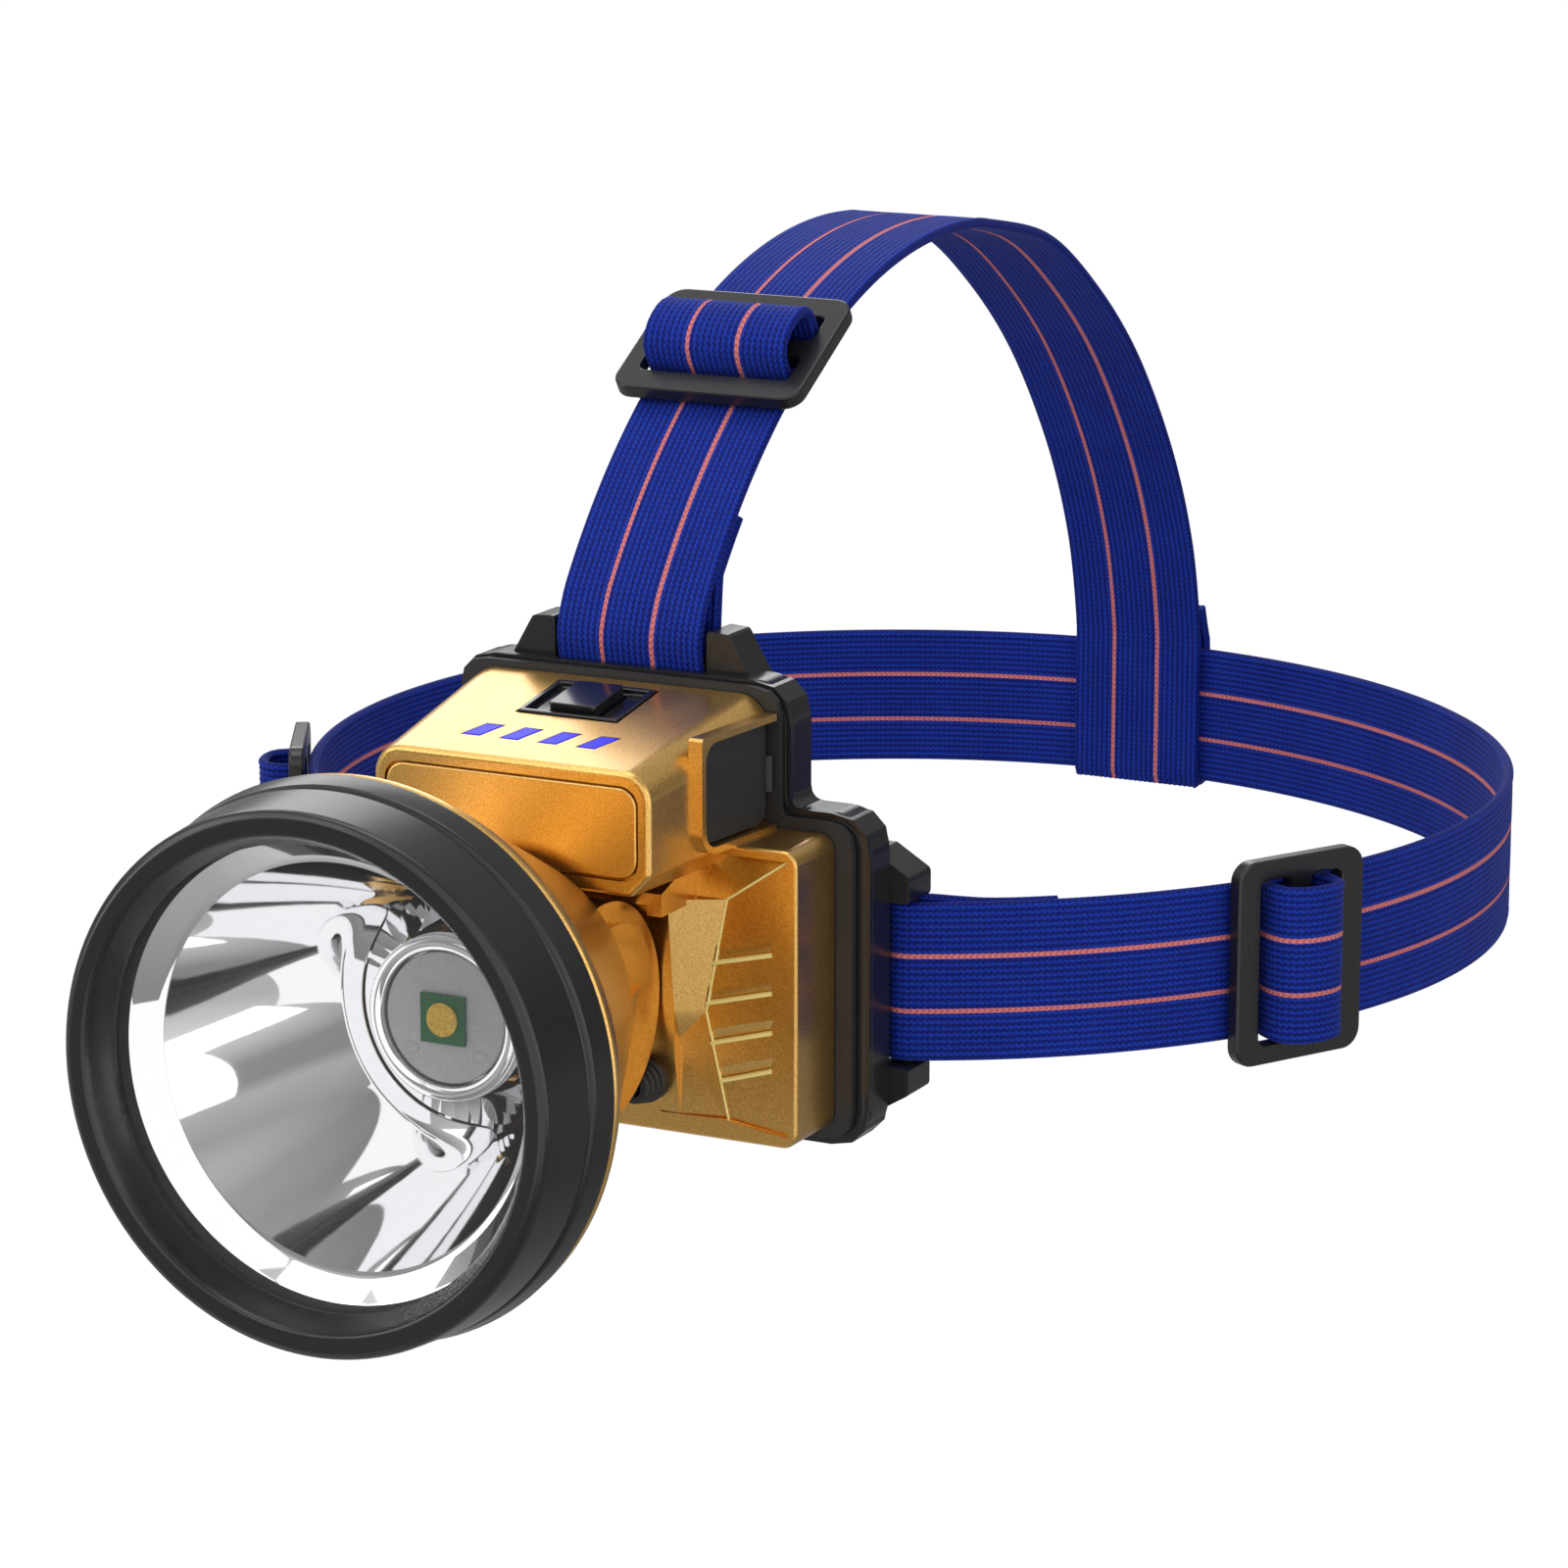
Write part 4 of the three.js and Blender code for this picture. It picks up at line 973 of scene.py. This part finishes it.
# %% Front housing: the two boxes
UPPER_HALF, UPPER_TOP, UPPER_BOTTOM, UPPER_FRONT = 23.6, 40.0, 21.0, -35.3
LOWER_HALF, LOWER_TOP, LOWER_BOTTOM, LOWER_FRONT = 37.4, 25.2, -21.4, -14.6
BACK = -1.9
FLARE, RISE, CHAMFER = 2.8, 5.6, 3.3
HINGE_Y, HINGE_Z = -33.6, 2.0
EAR_RADIUS = 17.1


def flared(bm, front, back):
    """Widens and lifts the upper box towards its back."""
    for vert in bm.verts:
        share = ((vert.co.y - COVER_FRONT) / MM - front) / (back - front)
        lift = max(0.0, (vert.co.z / MM - UPPER_BOTTOM) / (UPPER_TOP - UPPER_BOTTOM))
        vert.co.x *= 1 + FLARE / UPPER_HALF * share
        vert.co.z += RISE * MM * share * lift
    return bm


def round_front(bm, radius):
    """Rounds the edge round the front face."""
    front = min(vert.co.y for vert in bm.verts) + 1e-6
    rim = [edge for edge in bm.edges if all(vert.co.y < front for vert in edge.verts)]
    bmesh.ops.bevel(
        bm, geom=rim, offset=radius * MM, offset_type="OFFSET", affect="EDGES", segments=4,
        profile=0.5, material=-1, clamp_overlap=True,
    )
    return bm


def upper_box():
    """The narrow box, with its lower corners cut off and its top corners well rounded."""
    half, side = UPPER_HALF, UPPER_BOTTOM + CHAMFER
    outline = [
        (-half + CHAMFER, UPPER_BOTTOM, 1.2), (half - CHAMFER, UPPER_BOTTOM, 1.2), (half, side, 1.2),
        (half, UPPER_TOP, 4.6), (-half, UPPER_TOP, 4.6), (-half, side, 1.2),
    ]
    box = round_front(prism(outline, (UPPER_FRONT, BACK), segments=8), 1.0)
    return flared(box, UPPER_FRONT, BACK)


def lower_box():
    outline = rectangle((-LOWER_HALF, LOWER_HALF), (LOWER_BOTTOM, LOWER_TOP), 2.6)
    return round_front(prism(outline, (LOWER_FRONT, BACK), segments=8), 0.6)


def both_sides(bm):
    """Adds the mirror image in x."""
    copied = bmesh.ops.duplicate(bm, geom=bm.verts[:] + bm.edges[:] + bm.faces[:])["geom"]
    verts = [g for g in copied if isinstance(g, bmesh.types.BMVert)]
    bmesh.ops.scale(bm, verts=verts, vec=(-1, 1, 1))
    bmesh.ops.reverse_faces(bm, faces=[g for g in copied if isinstance(g, bmesh.types.BMFace)])
    return bm


print("boxes", 2 * UPPER_HALF, "and", 2 * LOWER_HALF, "mm wide")

# %% Front housing: wings
# Places on one wing, as (x, z) in millimetres.
RIM = 1.6
WING_RIGHT, WING_TOP, WING_BOTTOM = LOWER_HALF - RIM, LOWER_TOP - RIM, LOWER_BOTTOM + 1.8
RIDGE_END = (25.2, 16.4)
CREASE = (21.6, -1.6)
HEEL = (25.8, -20.0)
MIDDLE_HALF, MIDDLE_FRONT = 17.3, -16.1
TURN_DOWN = 4.6  # height of the small facet under the crease
SINK = 0.9  # how far the wing's face lies behind its rim
LOUVRE_DEPTH = 0.5
LOUVRES = [
    ((22.6, 5.8), (32.4, 8.2)), ((21.4, -0.7), (32.4, 2.2)), ((22.2, -6.9), (32.4, -4.0)),
    ((23.8, -12.7), (32.4, -10.0)),
]


def solid_between(front, rear):
    """A closed solid between two outlines with the same number of points, in millimetres."""
    bm = bmesh.new()
    rings = [[bm.verts.new(in_front(p)) for p in outline] for outline in (front, rear)]
    edges = []
    for ring in rings:
        edges += [bm.edges.new(pair) for pair in zip(ring, ring[1:] + ring[:1])]
        bm.faces.new(ring)
    bmesh.ops.bridge_loops(bm, edges=edges)
    bmesh.ops.recalc_face_normals(bm, faces=bm.faces)
    return bm


def wing_pocket():
    """The hollow that leaves the rim standing round the wing's face. Its bottom wall slopes."""
    front, face, left = LOWER_FRONT - 1, LOWER_FRONT + SINK, 14

    def outline(y, foot):
        top = [(left, y, WING_TOP), (WING_RIGHT, y, WING_TOP)]
        return [*top, (WING_RIGHT, y, WING_BOTTOM), (left, y, foot)]

    return solid_between(outline(front, WING_BOTTOM - 0.6), outline(face, WING_BOTTOM + 3.0))


def upper_facet():
    """A cutter that takes the wing back above its ridge. Its back is two facets."""
    face, deep, inner = LOWER_FRONT + SINK, LOWER_FRONT + SINK + 3.0, 20.0
    bm = bmesh.new()
    points = [
        (RIDGE_END[0], face, RIDGE_END[1]), (WING_RIGHT, face, WING_TOP), (RIDGE_END[0], deep, WING_TOP),
        (inner, deep, WING_TOP), (inner, face, RIDGE_END[1]),
    ]
    back = [bm.verts.new(in_front(p)) for p in points]
    front = [bm.verts.new(vert.co + Vector((0, -6, 0)) * MM) for vert in back]
    for corners in ((0, 1, 2), (0, 2, 3, 4)):
        bm.faces.new([back[i] for i in corners])
        bm.faces.new([front[i] for i in reversed(corners)])
    for i, j in zip(range(5), (1, 2, 3, 4, 0)):
        bm.faces.new((back[i], front[i], front[j], back[j]))
    bmesh.ops.recalc_face_normals(bm, faces=bm.faces)
    return bm


def cheek():
    """Three facets beside the middle. The upper one comes forward from the wing and is flat, so its
    inner top corner follows from the other three. It ends in a crease, and below that a short facet
    goes back to the lower cheek, which lies nearly in the wing's plane."""
    face, root, foot = LOWER_FRONT + SINK, -6, WING_BOTTOM - 0.4
    lean = (face - MIDDLE_FRONT) / (CREASE[0] - MIDDLE_HALF)
    top, turned, low_front = RIDGE_END[1], CREASE[1] - TURN_DOWN, face - 0.7
    bm = bmesh.new()

    def vert(x, y, z):
        return bm.verts.new(in_front((x, y, z)))

    depths = (face - lean * (RIDGE_END[0] - MIDDLE_HALF), MIDDLE_FRONT, low_front, low_front)
    inner = [vert(MIDDLE_HALF, y, z) for y, z in zip(depths, (top, CREASE[1], turned, foot))]
    outer = [vert(x, face, z) for x, z in (RIDGE_END, CREASE, HEEL)]
    back_inner = [vert(MIDDLE_HALF, root, top), vert(MIDDLE_HALF, root, foot)]
    back_outer = [vert(x, root, z) for x, z in (RIDGE_END, CREASE, HEEL)]
    bm.faces.new((inner[0], outer[0], outer[1], inner[1]))
    bm.faces.new((inner[1], outer[1], inner[2]))
    bm.faces.new((inner[2], outer[1], outer[2]))
    bm.faces.new((inner[2], outer[2], inner[3]))
    bm.faces.new((outer[0], back_outer[0], back_outer[1], outer[1]))
    bm.faces.new((outer[1], back_outer[1], back_outer[2], outer[2]))
    bm.faces.new((inner[0], back_inner[0], back_outer[0], outer[0]))
    bm.faces.new((inner[3], outer[2], back_outer[2], back_inner[1]))
    bm.faces.new((inner[0], inner[1], inner[2], inner[3], back_inner[1], back_inner[0]))
    bm.faces.new((back_inner[0], back_inner[1], back_outer[2], back_outer[1], back_outer[0]))
    bmesh.ops.recalc_face_normals(bm, faces=bm.faces)
    return bm


def middle():
    """The front between the two wings. Its lower part leans back to the rim."""
    half, foot = MIDDLE_HALF + 0.05, WING_BOTTOM - 0.4
    section = [
        (-6, UPPER_BOTTOM + 1), (MIDDLE_FRONT, UPPER_BOTTOM + 1), (MIDDLE_FRONT, -9.0),
        (LOWER_FRONT + SINK - 0.4, foot), (-6, foot),
    ]
    return solid_between(*[[(x, y, z) for y, z in section] for x in (-half, half)])


def louvre(start, end):
    """A slot that deepens downwards to a short lip, with a slanted end wall. Its front outline is
    pushed a little out of the wing's face, along the slot's own slopes."""
    (x0, z0), (x1, z1) = start, end
    face, deep = LOWER_FRONT + SINK, LOWER_FRONT + SINK + LOUVRE_DEPTH
    lip, tall, slant, push = 0.62, 2.5, 0.6, 1.4
    inner = [Vector((x0, deep, z0 + lip)), Vector((x1, deep, z1 + lip))]
    corners = [
        (0, (x0, face, z0)), (1, (x1 + slant, face, z1)),
        (1, (x1 + slant, face, z1 + tall)), (0, (x0, face, z0 + tall)),
    ]
    front = [inner[i].lerp(Vector(corner), push) for i, corner in corners]
    for i in (0, 3):
        front[i].x = x0
    bm = bmesh.new()
    a, b, c, d = [bm.verts.new(in_front(point)) for point in front]
    e, f = [bm.verts.new(in_front(point)) for point in inner]
    for around in ((a, b, c, d), (a, e, f, b), (d, c, f, e), (a, d, e), (b, f, c)):
        bm.faces.new(around)
    bmesh.ops.recalc_face_normals(bm, faces=bm.faces)
    return bm


print(len(LOUVRES), "louvres on each wing")

# %% Front housing: port, switch and indicators
LEAD_X, LEAD_Z = 12.5, -13.0
PORT_FRONT, PORT_BACK, PORT_BOTTOM, PORT_TOP = -21.6, -2.9, 26.2, 41.7


def side_x(y):
    """The upper box's half width at a depth."""
    return UPPER_HALF + FLARE * (y - UPPER_FRONT) / (BACK - UPPER_FRONT)


def on_side(bm):
    """Moves a shape made at x = 0 out to the upper box's flared right side."""
    for vert in bm.verts:
        vert.co.x += side_x((vert.co.y - COVER_FRONT) / MM) * MM
    return bm


def port_frame():
    """The raised border round the port cover, open towards the back."""
    edge = 1.4
    corners = [
        (PORT_FRONT - edge, PORT_BOTTOM - edge, 4.0), (PORT_BACK + 0.8, PORT_BOTTOM - edge, 0.0),
        (PORT_BACK + 0.8, PORT_TOP + edge, 0.0), (PORT_FRONT - edge, PORT_TOP + edge, 0.7),
    ]
    return on_side(prism(corners, (-1.0, 1.3), axis="x"))


def port_pocket():
    """The hollow that the port cover fills."""
    corners = [
        (PORT_FRONT - 0.3, PORT_BOTTOM - 0.3, 2.8), (PORT_BACK + 1.2, PORT_BOTTOM - 0.3, 0.5),
        (PORT_BACK + 1.2, PORT_TOP + 0.3, 0.5), (PORT_FRONT - 0.3, PORT_TOP + 0.3, 2.8),
    ]
    return on_side(prism(corners, (-1.9, 3), axis="x"))


SWITCH_Y, SWITCH_HALF = -11.35, (8.6, 6.6)
TOP_SLOPE = atan2(1, 6)


def on_top_face(bm):
    """Puts a shape made about the origin onto the sloping top face, at the switch."""
    height = UPPER_TOP + RISE * (SWITCH_Y - UPPER_FRONT) / (BACK - UPPER_FRONT)
    place = Matrix.Translation(in_front((0, SWITCH_Y, height)))
    bmesh.ops.transform(bm, matrix=place @ Matrix.Rotation(TOP_SLOPE, 4, "X"), verts=bm.verts)
    return bm


def panel_pocket():
    """The corners of the switch panel's pocket, about the switch."""
    half_x, half_y = SWITCH_HALF[0] + 0.3, SWITCH_HALF[1] + 0.3
    return Vector((-half_x, -half_y, -2.5)) * MM, Vector((half_x, half_y, 3)) * MM


INDICATOR_PITCH, INDICATOR_Y, INDICATOR_SIZE, INDICATOR_SLANT = 6.6, -14.7, (2.9, 4.6), 1.7


def indicator_shape(index, grow, low, high):
    """One slanted indicator's block, for its window in the top face."""
    half_x, half_y = INDICATOR_SIZE[0] / 2 + grow, INDICATOR_SIZE[1] / 2 + grow
    bm = cube_between(Vector((-half_x, -half_y, low)) * MM, Vector((half_x, half_y, high)) * MM)
    lean = INDICATOR_SLANT / INDICATOR_SIZE[1]
    for vert in bm.verts:
        vert.co.x += vert.co.y * lean + (index - 1.5) * INDICATOR_PITCH * MM
        vert.co.y += INDICATOR_Y * MM
    return on_top_face(bm)


print("places for the port cover, the switch and 4 indicators")

# %% Front housing: put together
KNUCKLE_HALF, KNUCKLE_RADIUS = 9.8, 11.5
SOCKET_RADIUS = EAR_RADIUS + 0.5
TRIM_HALF, TRIM_LOW, TRIM_HIGH, TRIM_CORNER = 21.4, 23.7, 37.6, 3.0
TRIM_GAP = 0.3


def front_housing():
    """The lower box, cut and joined in the order that a mould maker would think of it."""
    ledge_section = [(-6, 21.6), (-17.0, 21.6), (-24.6, 19.0), (-24.6, 15.5), (-6, 15.5)]
    ledge = solid_between(*[[(x, y, z) for y, z in ledge_section] for x in (-19.8, 19.8)])
    knuckle_sides = (-KNUCKLE_HALF, KNUCKLE_HALF)
    arm = block(knuckle_sides, (HINGE_Y, -10), (HINGE_Z - 8, HINGE_Z + 8))
    trim_half, trim_height = TRIM_HALF + TRIM_GAP, (TRIM_LOW - TRIM_GAP, TRIM_HIGH + TRIM_GAP)
    trim_outline = rectangle((-trim_half, trim_half), trim_height, TRIM_CORNER)
    socket_sides = (-MIDDLE_HALF, MIDDLE_HALF)
    steps = [("DIFFERENCE", both_sides(wing_pocket())), ("DIFFERENCE", both_sides(upper_facet()))]
    steps += [("UNION", both_sides(cheek())), ("UNION", middle())]
    steps += [("DIFFERENCE", both_sides(louvre(*ends))) for ends in LOUVRES]
    steps += [("UNION", upper_box()), ("UNION", ledge)]
    steps += [("DIFFERENCE", drum(SOCKET_RADIUS, socket_sides, HINGE_Y, HINGE_Z, 96))]
    steps += [("UNION", arm), ("UNION", drum(KNUCKLE_RADIUS, knuckle_sides, HINGE_Y, HINGE_Z, 48))]
    steps += [("UNION", port_frame()), ("DIFFERENCE", port_pocket())]
    steps += [("DIFFERENCE", prism(trim_outline, (UPPER_FRONT - 1, UPPER_FRONT + 1.4)))]
    steps += [("DIFFERENCE", on_top_face(cube_between(*panel_pocket())))]
    steps += [("DIFFERENCE", indicator_shape(i, 0.25, -2.0, 2.0)) for i in range(4)]
    steps += [("DIFFERENCE", drum(2.1, LEAD_X, (-20, -10), LEAD_Z, 24, "Y"))]
    return worked(lower_box(), *steps)


piece(
    "housing_shell", front_housing(), PLATED_GOLD, "housing", "front_housing",
    edge=0.4 * MM, sharp=16,
)

# %% [markdown]
# ## Crests with a painted highlight, and the trim plate
# The louvres' lips, the ridge and the cheek's outer edge are thin raised crests. They could be part
# of the housing, but they are finer than its bevel, so they are closed bars of their own, partly
# sunk in the wing. Their paler gold is a painted highlight, for the light that narrow crests catch.
# The trim plate fills the shallow pocket in the upper box's front.

# %% Crests with painted highlight, and trim plate
CREST_FOOT, CREST_HEIGHT = 0.3, 0.3


def bar(start, end, width):
    """A thin ridge on the wing's face between two (x, z) places, half as wide at its crest."""
    face = LOWER_FRONT + SINK
    along = Vector((end[0] - start[0], end[1] - start[1])).normalized()
    across = Vector((-along.y, along.x)) * (width / 2)
    foot, crest = [], []
    for point, side in ((start, 1), (end, 1), (end, -1), (start, -1)):
        foot.append((point[0] + across.x * side, face + CREST_FOOT, point[1] + across.y * side))
        inward = side * 0.5
        crest.append((point[0] + across.x * inward, face - CREST_HEIGHT, point[1] + across.y * inward))
    return solid_between(crest, foot)


def bright_edges():
    """The lips of the louvres, the ridge, and the cheek's outer edge, on both wings."""
    bars = [bar((x0 + 0.1, z0 + 0.3), (x1 + 0.3, z1 + 0.3), 0.9) for (x0, z0), (x1, z1) in LOUVRES]
    bars += [bar(RIDGE_END, (WING_RIGHT, WING_TOP), 0.55)]
    bars += [bar(RIDGE_END, CREASE, 0.42), bar(CREASE, HEEL, 0.36)]
    joined = bmesh.new()
    for made in bars:
        mesh = bpy.data.meshes.new("bar")
        made.to_mesh(mesh)
        joined.from_mesh(mesh)
        bpy.data.meshes.remove(mesh)
    return both_sides(joined)


# The crests wear the paler gold, whose colour is a painted highlight.
piece("wing_edges", bright_edges(), PAINTED_HIGHLIGHT_GOLD, "housing", edge=0.08 * MM)
trim_face = rectangle((-TRIM_HALF, TRIM_HALF), (TRIM_LOW, TRIM_HIGH), TRIM_CORNER)
trim = prism(trim_face, (UPPER_FRONT - 0.1, UPPER_FRONT + 1.2), segments=8)
piece("trim_plate", trim, PLATED_GOLD, "housing", "front_trim_plate", edge=0.35 * MM)

# %% [markdown]
# ## The cup
# The cup is a plated cone behind the bezel, with a thin lip, and two round ears that turn on the
# hinge pin. The cone is spun from its outline, and the ears, the raised half disc on each and the
# gusset below it are joined to it. The knuckle of the housing turns in a round slot between the
# ears, and a small hole lets the lead in.

# %% Cup
def cup_solid():
    """The cone's outline is (radius, depth) from the lip to the small end, and back inside."""
    wall = [
        (37.9, 10.2), (37.9, 16.7), (41.3, 16.7), (41.6, 17.0), (41.6, 17.7), (41.3, 18.0), (40.6, 18.4),
        (40.3, 20.2), (39.9, 21.3), (38.9, 22.6), (25.6, 49.8), (21.9, 57.3), (21.3, 57.8),
    ]
    inside = [(19.6, 55.3), (23.2, 48.3), (34.9, 24.4), (35.9, 21.6), (35.9, 10.2)]
    shell = spun([*wall, (0.001, 57.8), (0.001, 55.3), *inside], 160)
    steps = []
    for side in (-1, 1):
        x = sorted((side * 10.8, side * 15.0))
        steps.append(("UNION", drum(EAR_RADIUS, x, HINGE_Y, HINGE_Z, 96)))
        steps.append(("UNION", half_disc(side)))
        steps.append(("UNION", gusset(side)))
    lead_z = -17 + LAMP_Z / MM
    steps.append(("DIFFERENCE", drum(KNUCKLE_RADIUS + 0.6, (-10.7, 10.7), HINGE_Y, HINGE_Z, 64)))
    steps.append(("DIFFERENCE", drum(2.2, 4.3, (HINGE_Y - 16, HINGE_Y - 4), lead_z, 24, "Y")))
    return worked(shell, *steps)


def half_disc(side):
    """The raised upper half of an ear's outer face, flat at its foot."""
    reach, foot, crown = 12.0, HINGE_Z + 2.5, HINGE_Z + 13.8
    corners = [
        (HINGE_Y - reach, foot, 0.0), (HINGE_Y + reach, foot, 0.0),
        (HINGE_Y + reach, crown, 11.0), (HINGE_Y - reach, crown, 11.0),
    ]
    return prism(corners, sorted((side * 14.5, side * 16.5)), axis="x", segments=14)


def gusset(side):
    """The web below the half disc, between an ear's outer face and the cone. Its outer face slopes
    out to the cone, and its rear edge is an upright rib."""
    front, rear = HINGE_Y - 12, HINGE_Y + 8.6
    top, low = HINGE_Z + 3.0, HINGE_Z - 13.5
    upper = [
        (14.0, front, top), (23.5, front, top), (16.9, rear - 1.2, top), (16.1, rear, top),
        (14.0, rear, top),
    ]
    lower = [
        (14.0, front, low), (17.5, front, low), (16.2, rear - 6.2, low), (15.7, rear - 5, low),
        (14.0, rear - 5, low),
    ]
    return solid_between(*[[(side * x, y, z) for x, y, z in outline] for outline in (upper, lower)])


piece(
    "cup_shell", cup_solid(), PLATED_GOLD, "lamp_head", "lamp_cup",
    edge=0.3 * MM, sharp=24,
)

# %% [markdown]
# ## Softened copies
# The back cover, the switch panel and other moulded parts already have the right shape, but their
# edges are knife-sharp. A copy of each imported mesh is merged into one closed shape, its flat
# triangles are joined into larger faces, and its sharp edges are rounded. That keeps every place
# and size exactly as packed. Only the back cover also gets a ring with larger round corners.

# %% Softened copies
COVER_BOTTOM, COVER_TOP, COVER_STEP, LOWER_COVER, UPPER_COVER = -24.5, 47.3, 28.0, 42.5, 29.0
RING_OUT = 0.06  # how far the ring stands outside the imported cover


def packed_copy(node):
    """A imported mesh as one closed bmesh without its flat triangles."""
    bm = bmesh.new()
    bm.from_mesh(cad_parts[node].data)
    bmesh.ops.remove_doubles(bm, verts=bm.verts, dist=2e-6)
    bmesh.ops.dissolve_limit(bm, angle_limit=radians(0.4), verts=bm.verts, edges=bm.edges)
    return bm


def round_rim(bm, y, radius, segments):
    """Rounds the outline that lies in the plane y, where it is sharp."""
    rim = [
        edge for edge in bm.edges
        if all(abs(vert.co.y - y) < 5e-5 for vert in edge.verts) and len(edge.link_faces) == 2
        and edge.calc_face_angle(0) > 1.0
    ]
    bmesh.ops.bevel(
        bm, geom=rim, offset=radius * MM, offset_type="OFFSET", affect="EDGES", segments=segments,
        profile=0.5, material=-1, clamp_overlap=True,
    )
    return bm


def cover_rim():
    """The cover's outer band, with round corners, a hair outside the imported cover."""

    def outline(inset, outer, inner):
        grow = RING_OUT - inset
        half, narrow = LOWER_COVER + grow, UPPER_COVER + grow
        bottom, step, top = COVER_BOTTOM - grow, COVER_STEP + grow, COVER_TOP + grow
        return [
            (-half, bottom, outer), (half, bottom, outer), (half, step, outer), (narrow, step, inner),
            (narrow, top, outer), (-narrow, top, outer), (-narrow, step, inner), (-half, step, outer),
        ]

    band = prism(outline(0, 6.5, 2.3), (-0.05, 7.05), segments=10)
    ring = round_rim(band, COVER_FRONT - 0.05 * MM, 1.2, 5)
    hole = prism(outline(3.0, 3.5, 5.3), (-1, 8), segments=10)
    slot = block((-13.1, 13.1), (1.7, 9), (43.4, 50))
    return worked(ring, ("DIFFERENCE", hole), ("DIFFERENCE", slot))


def softened(name, node, material, body, edge, sharp=32):
    return piece(name, packed_copy(node), material, body, node, edge=edge, sharp=sharp)


softened("cover_shell", "back_cover", BLACK_PLASTIC, "housing", 0.5 * MM, 28)
piece("cover_rim", cover_rim(), BLACK_PLASTIC, "housing", edge=0.4 * MM, sharp=35)
softened("switch_frame", "switch_panel", GLOSS_BLACK, "housing", 0.25 * MM)
softened("button_cap", "power_button", GLOSS_BLACK, "power_button", 0.35 * MM)
softened("port_flap", "port_cover", RUBBER, "port_cover", 0.3 * MM)
for index in range(4):
    name = f"indicator_{index + 1}"
    softened(f"{name}_lens", name, INDICATOR_BLUE, "housing", 0.12 * MM)

# %% [markdown]
# ## Boot and lead
# The lead leaves the housing through a ribbed rubber boot, each rib a little smaller than the one
# before, and goes into the back of the cup. On the real lamp it bends when the head tilts; here it
# rides on neither body. A curve with a round section is the simplest tube, and becomes a mesh.

# %% Boot and lead
LEAD_RADIUS = 1.3
LEAD_ROUTE = [
    (LEAD_X, -13.4, LEAD_Z), (LEAD_X, -20.6, LEAD_Z), (11.5, -23.5, -14.2), (8.7, -26.6, -14.7),
    (6, -31, -14.3), (4.5, -36, -13), (4.2, -42.5, -11.5),
]
BOOT_START, BOOT_PITCH, BOOT_RIBS = -16.4, 1.2, 4


def boot():
    """A sleeve with ribs that get smaller, spun about the lead where it leaves the housing."""
    bore, flange = LEAD_RADIUS + 0.3, BOOT_START + 2.2
    profile = [(bore, flange), (3.5, flange)]
    for i in range(BOOT_RIBS):
        radius, y = 3.5 - 0.25 * i, BOOT_START - i * BOOT_PITCH
        profile += [(radius - 0.2, y), (radius, y - 0.2), (radius, y - 0.5), (radius - 0.2, y - 0.7)]
        profile += [(radius - 0.65, y - 0.75), (radius - 0.65, y - BOOT_PITCH)]
    profile.append((bore, BOOT_START - BOOT_RIBS * BOOT_PITCH))
    bm = bmesh.new()
    verts = [bm.verts.new(in_front((LEAD_X + r, y, LEAD_Z))) for r, y in profile]
    for pair in zip(verts, verts[1:] + verts[:1]):
        bm.edges.new(pair)
    bmesh.ops.spin(
        bm, geom=bm.verts[:] + bm.edges[:], cent=(LEAD_X * MM, 0, LEAD_Z * MM), axis=(0, 1, 0),
        dvec=(0, 0, 0), angle=2 * pi, steps=56, use_merge=True, use_duplicate=False,
    )
    return bm


def lead_tube():
    """The lead as a mesh, from a curve along its route."""
    curve = bpy.data.curves.new("lead", "CURVE")
    curve.dimensions = "3D"
    curve.bevel_depth, curve.bevel_resolution, curve.use_fill_caps = LEAD_RADIUS * MM, 5, True
    spline = curve.splines.new("NURBS")
    spline.points.add(len(LEAD_ROUTE) - 1)
    for point, place in zip(spline.points, LEAD_ROUTE):
        point.co = (*in_front(place), 1)
    spline.order_u, spline.use_endpoint_u, spline.resolution_u = 4, True, 10
    holder = bpy.data.objects.new("lead", curve)
    bpy.context.scene.collection.objects.link(holder)
    graph = bpy.context.evaluated_depsgraph_get()
    mesh = bpy.data.meshes.new_from_object(holder.evaluated_get(graph))
    bpy.data.objects.remove(holder)
    return mesh


piece("boot_sleeve", boot(), RUBBER, "housing", "cable_boot", sharp=40)
lead = dress("lead_tube", lead_tube(), RUBBER, None, "lamp_lead")
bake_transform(lead)

# %% [markdown]
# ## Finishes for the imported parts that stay
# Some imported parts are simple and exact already: screws, pin, washers, the cell and the boards. They
# keep their meshes, and only their finishes change.

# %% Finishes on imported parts
STAYING = {
    BRIGHT_STEEL: [
        "cover_screw_1", "cover_screw_2", "cover_screw_3", "cover_screw_4", "hinge_pin",
        "friction_washer_left", "friction_washer_right", "battery_tab_left", "battery_tab_right",
        "button_switch", "charge_socket",
    ],
    MIRROR: ["heat_sink"],
    CELL_SLEEVE: ["battery_cell"],
    CIRCUIT_BOARD: ["control_board"],
    RUBBER: ["housing_gasket"],
}
for material, nodes in STAYING.items():
    for node in nodes:
        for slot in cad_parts[node].material_slots:
            slot.material = material
print("refinished", sum(len(nodes) for nodes in STAYING.values()), "packed parts")
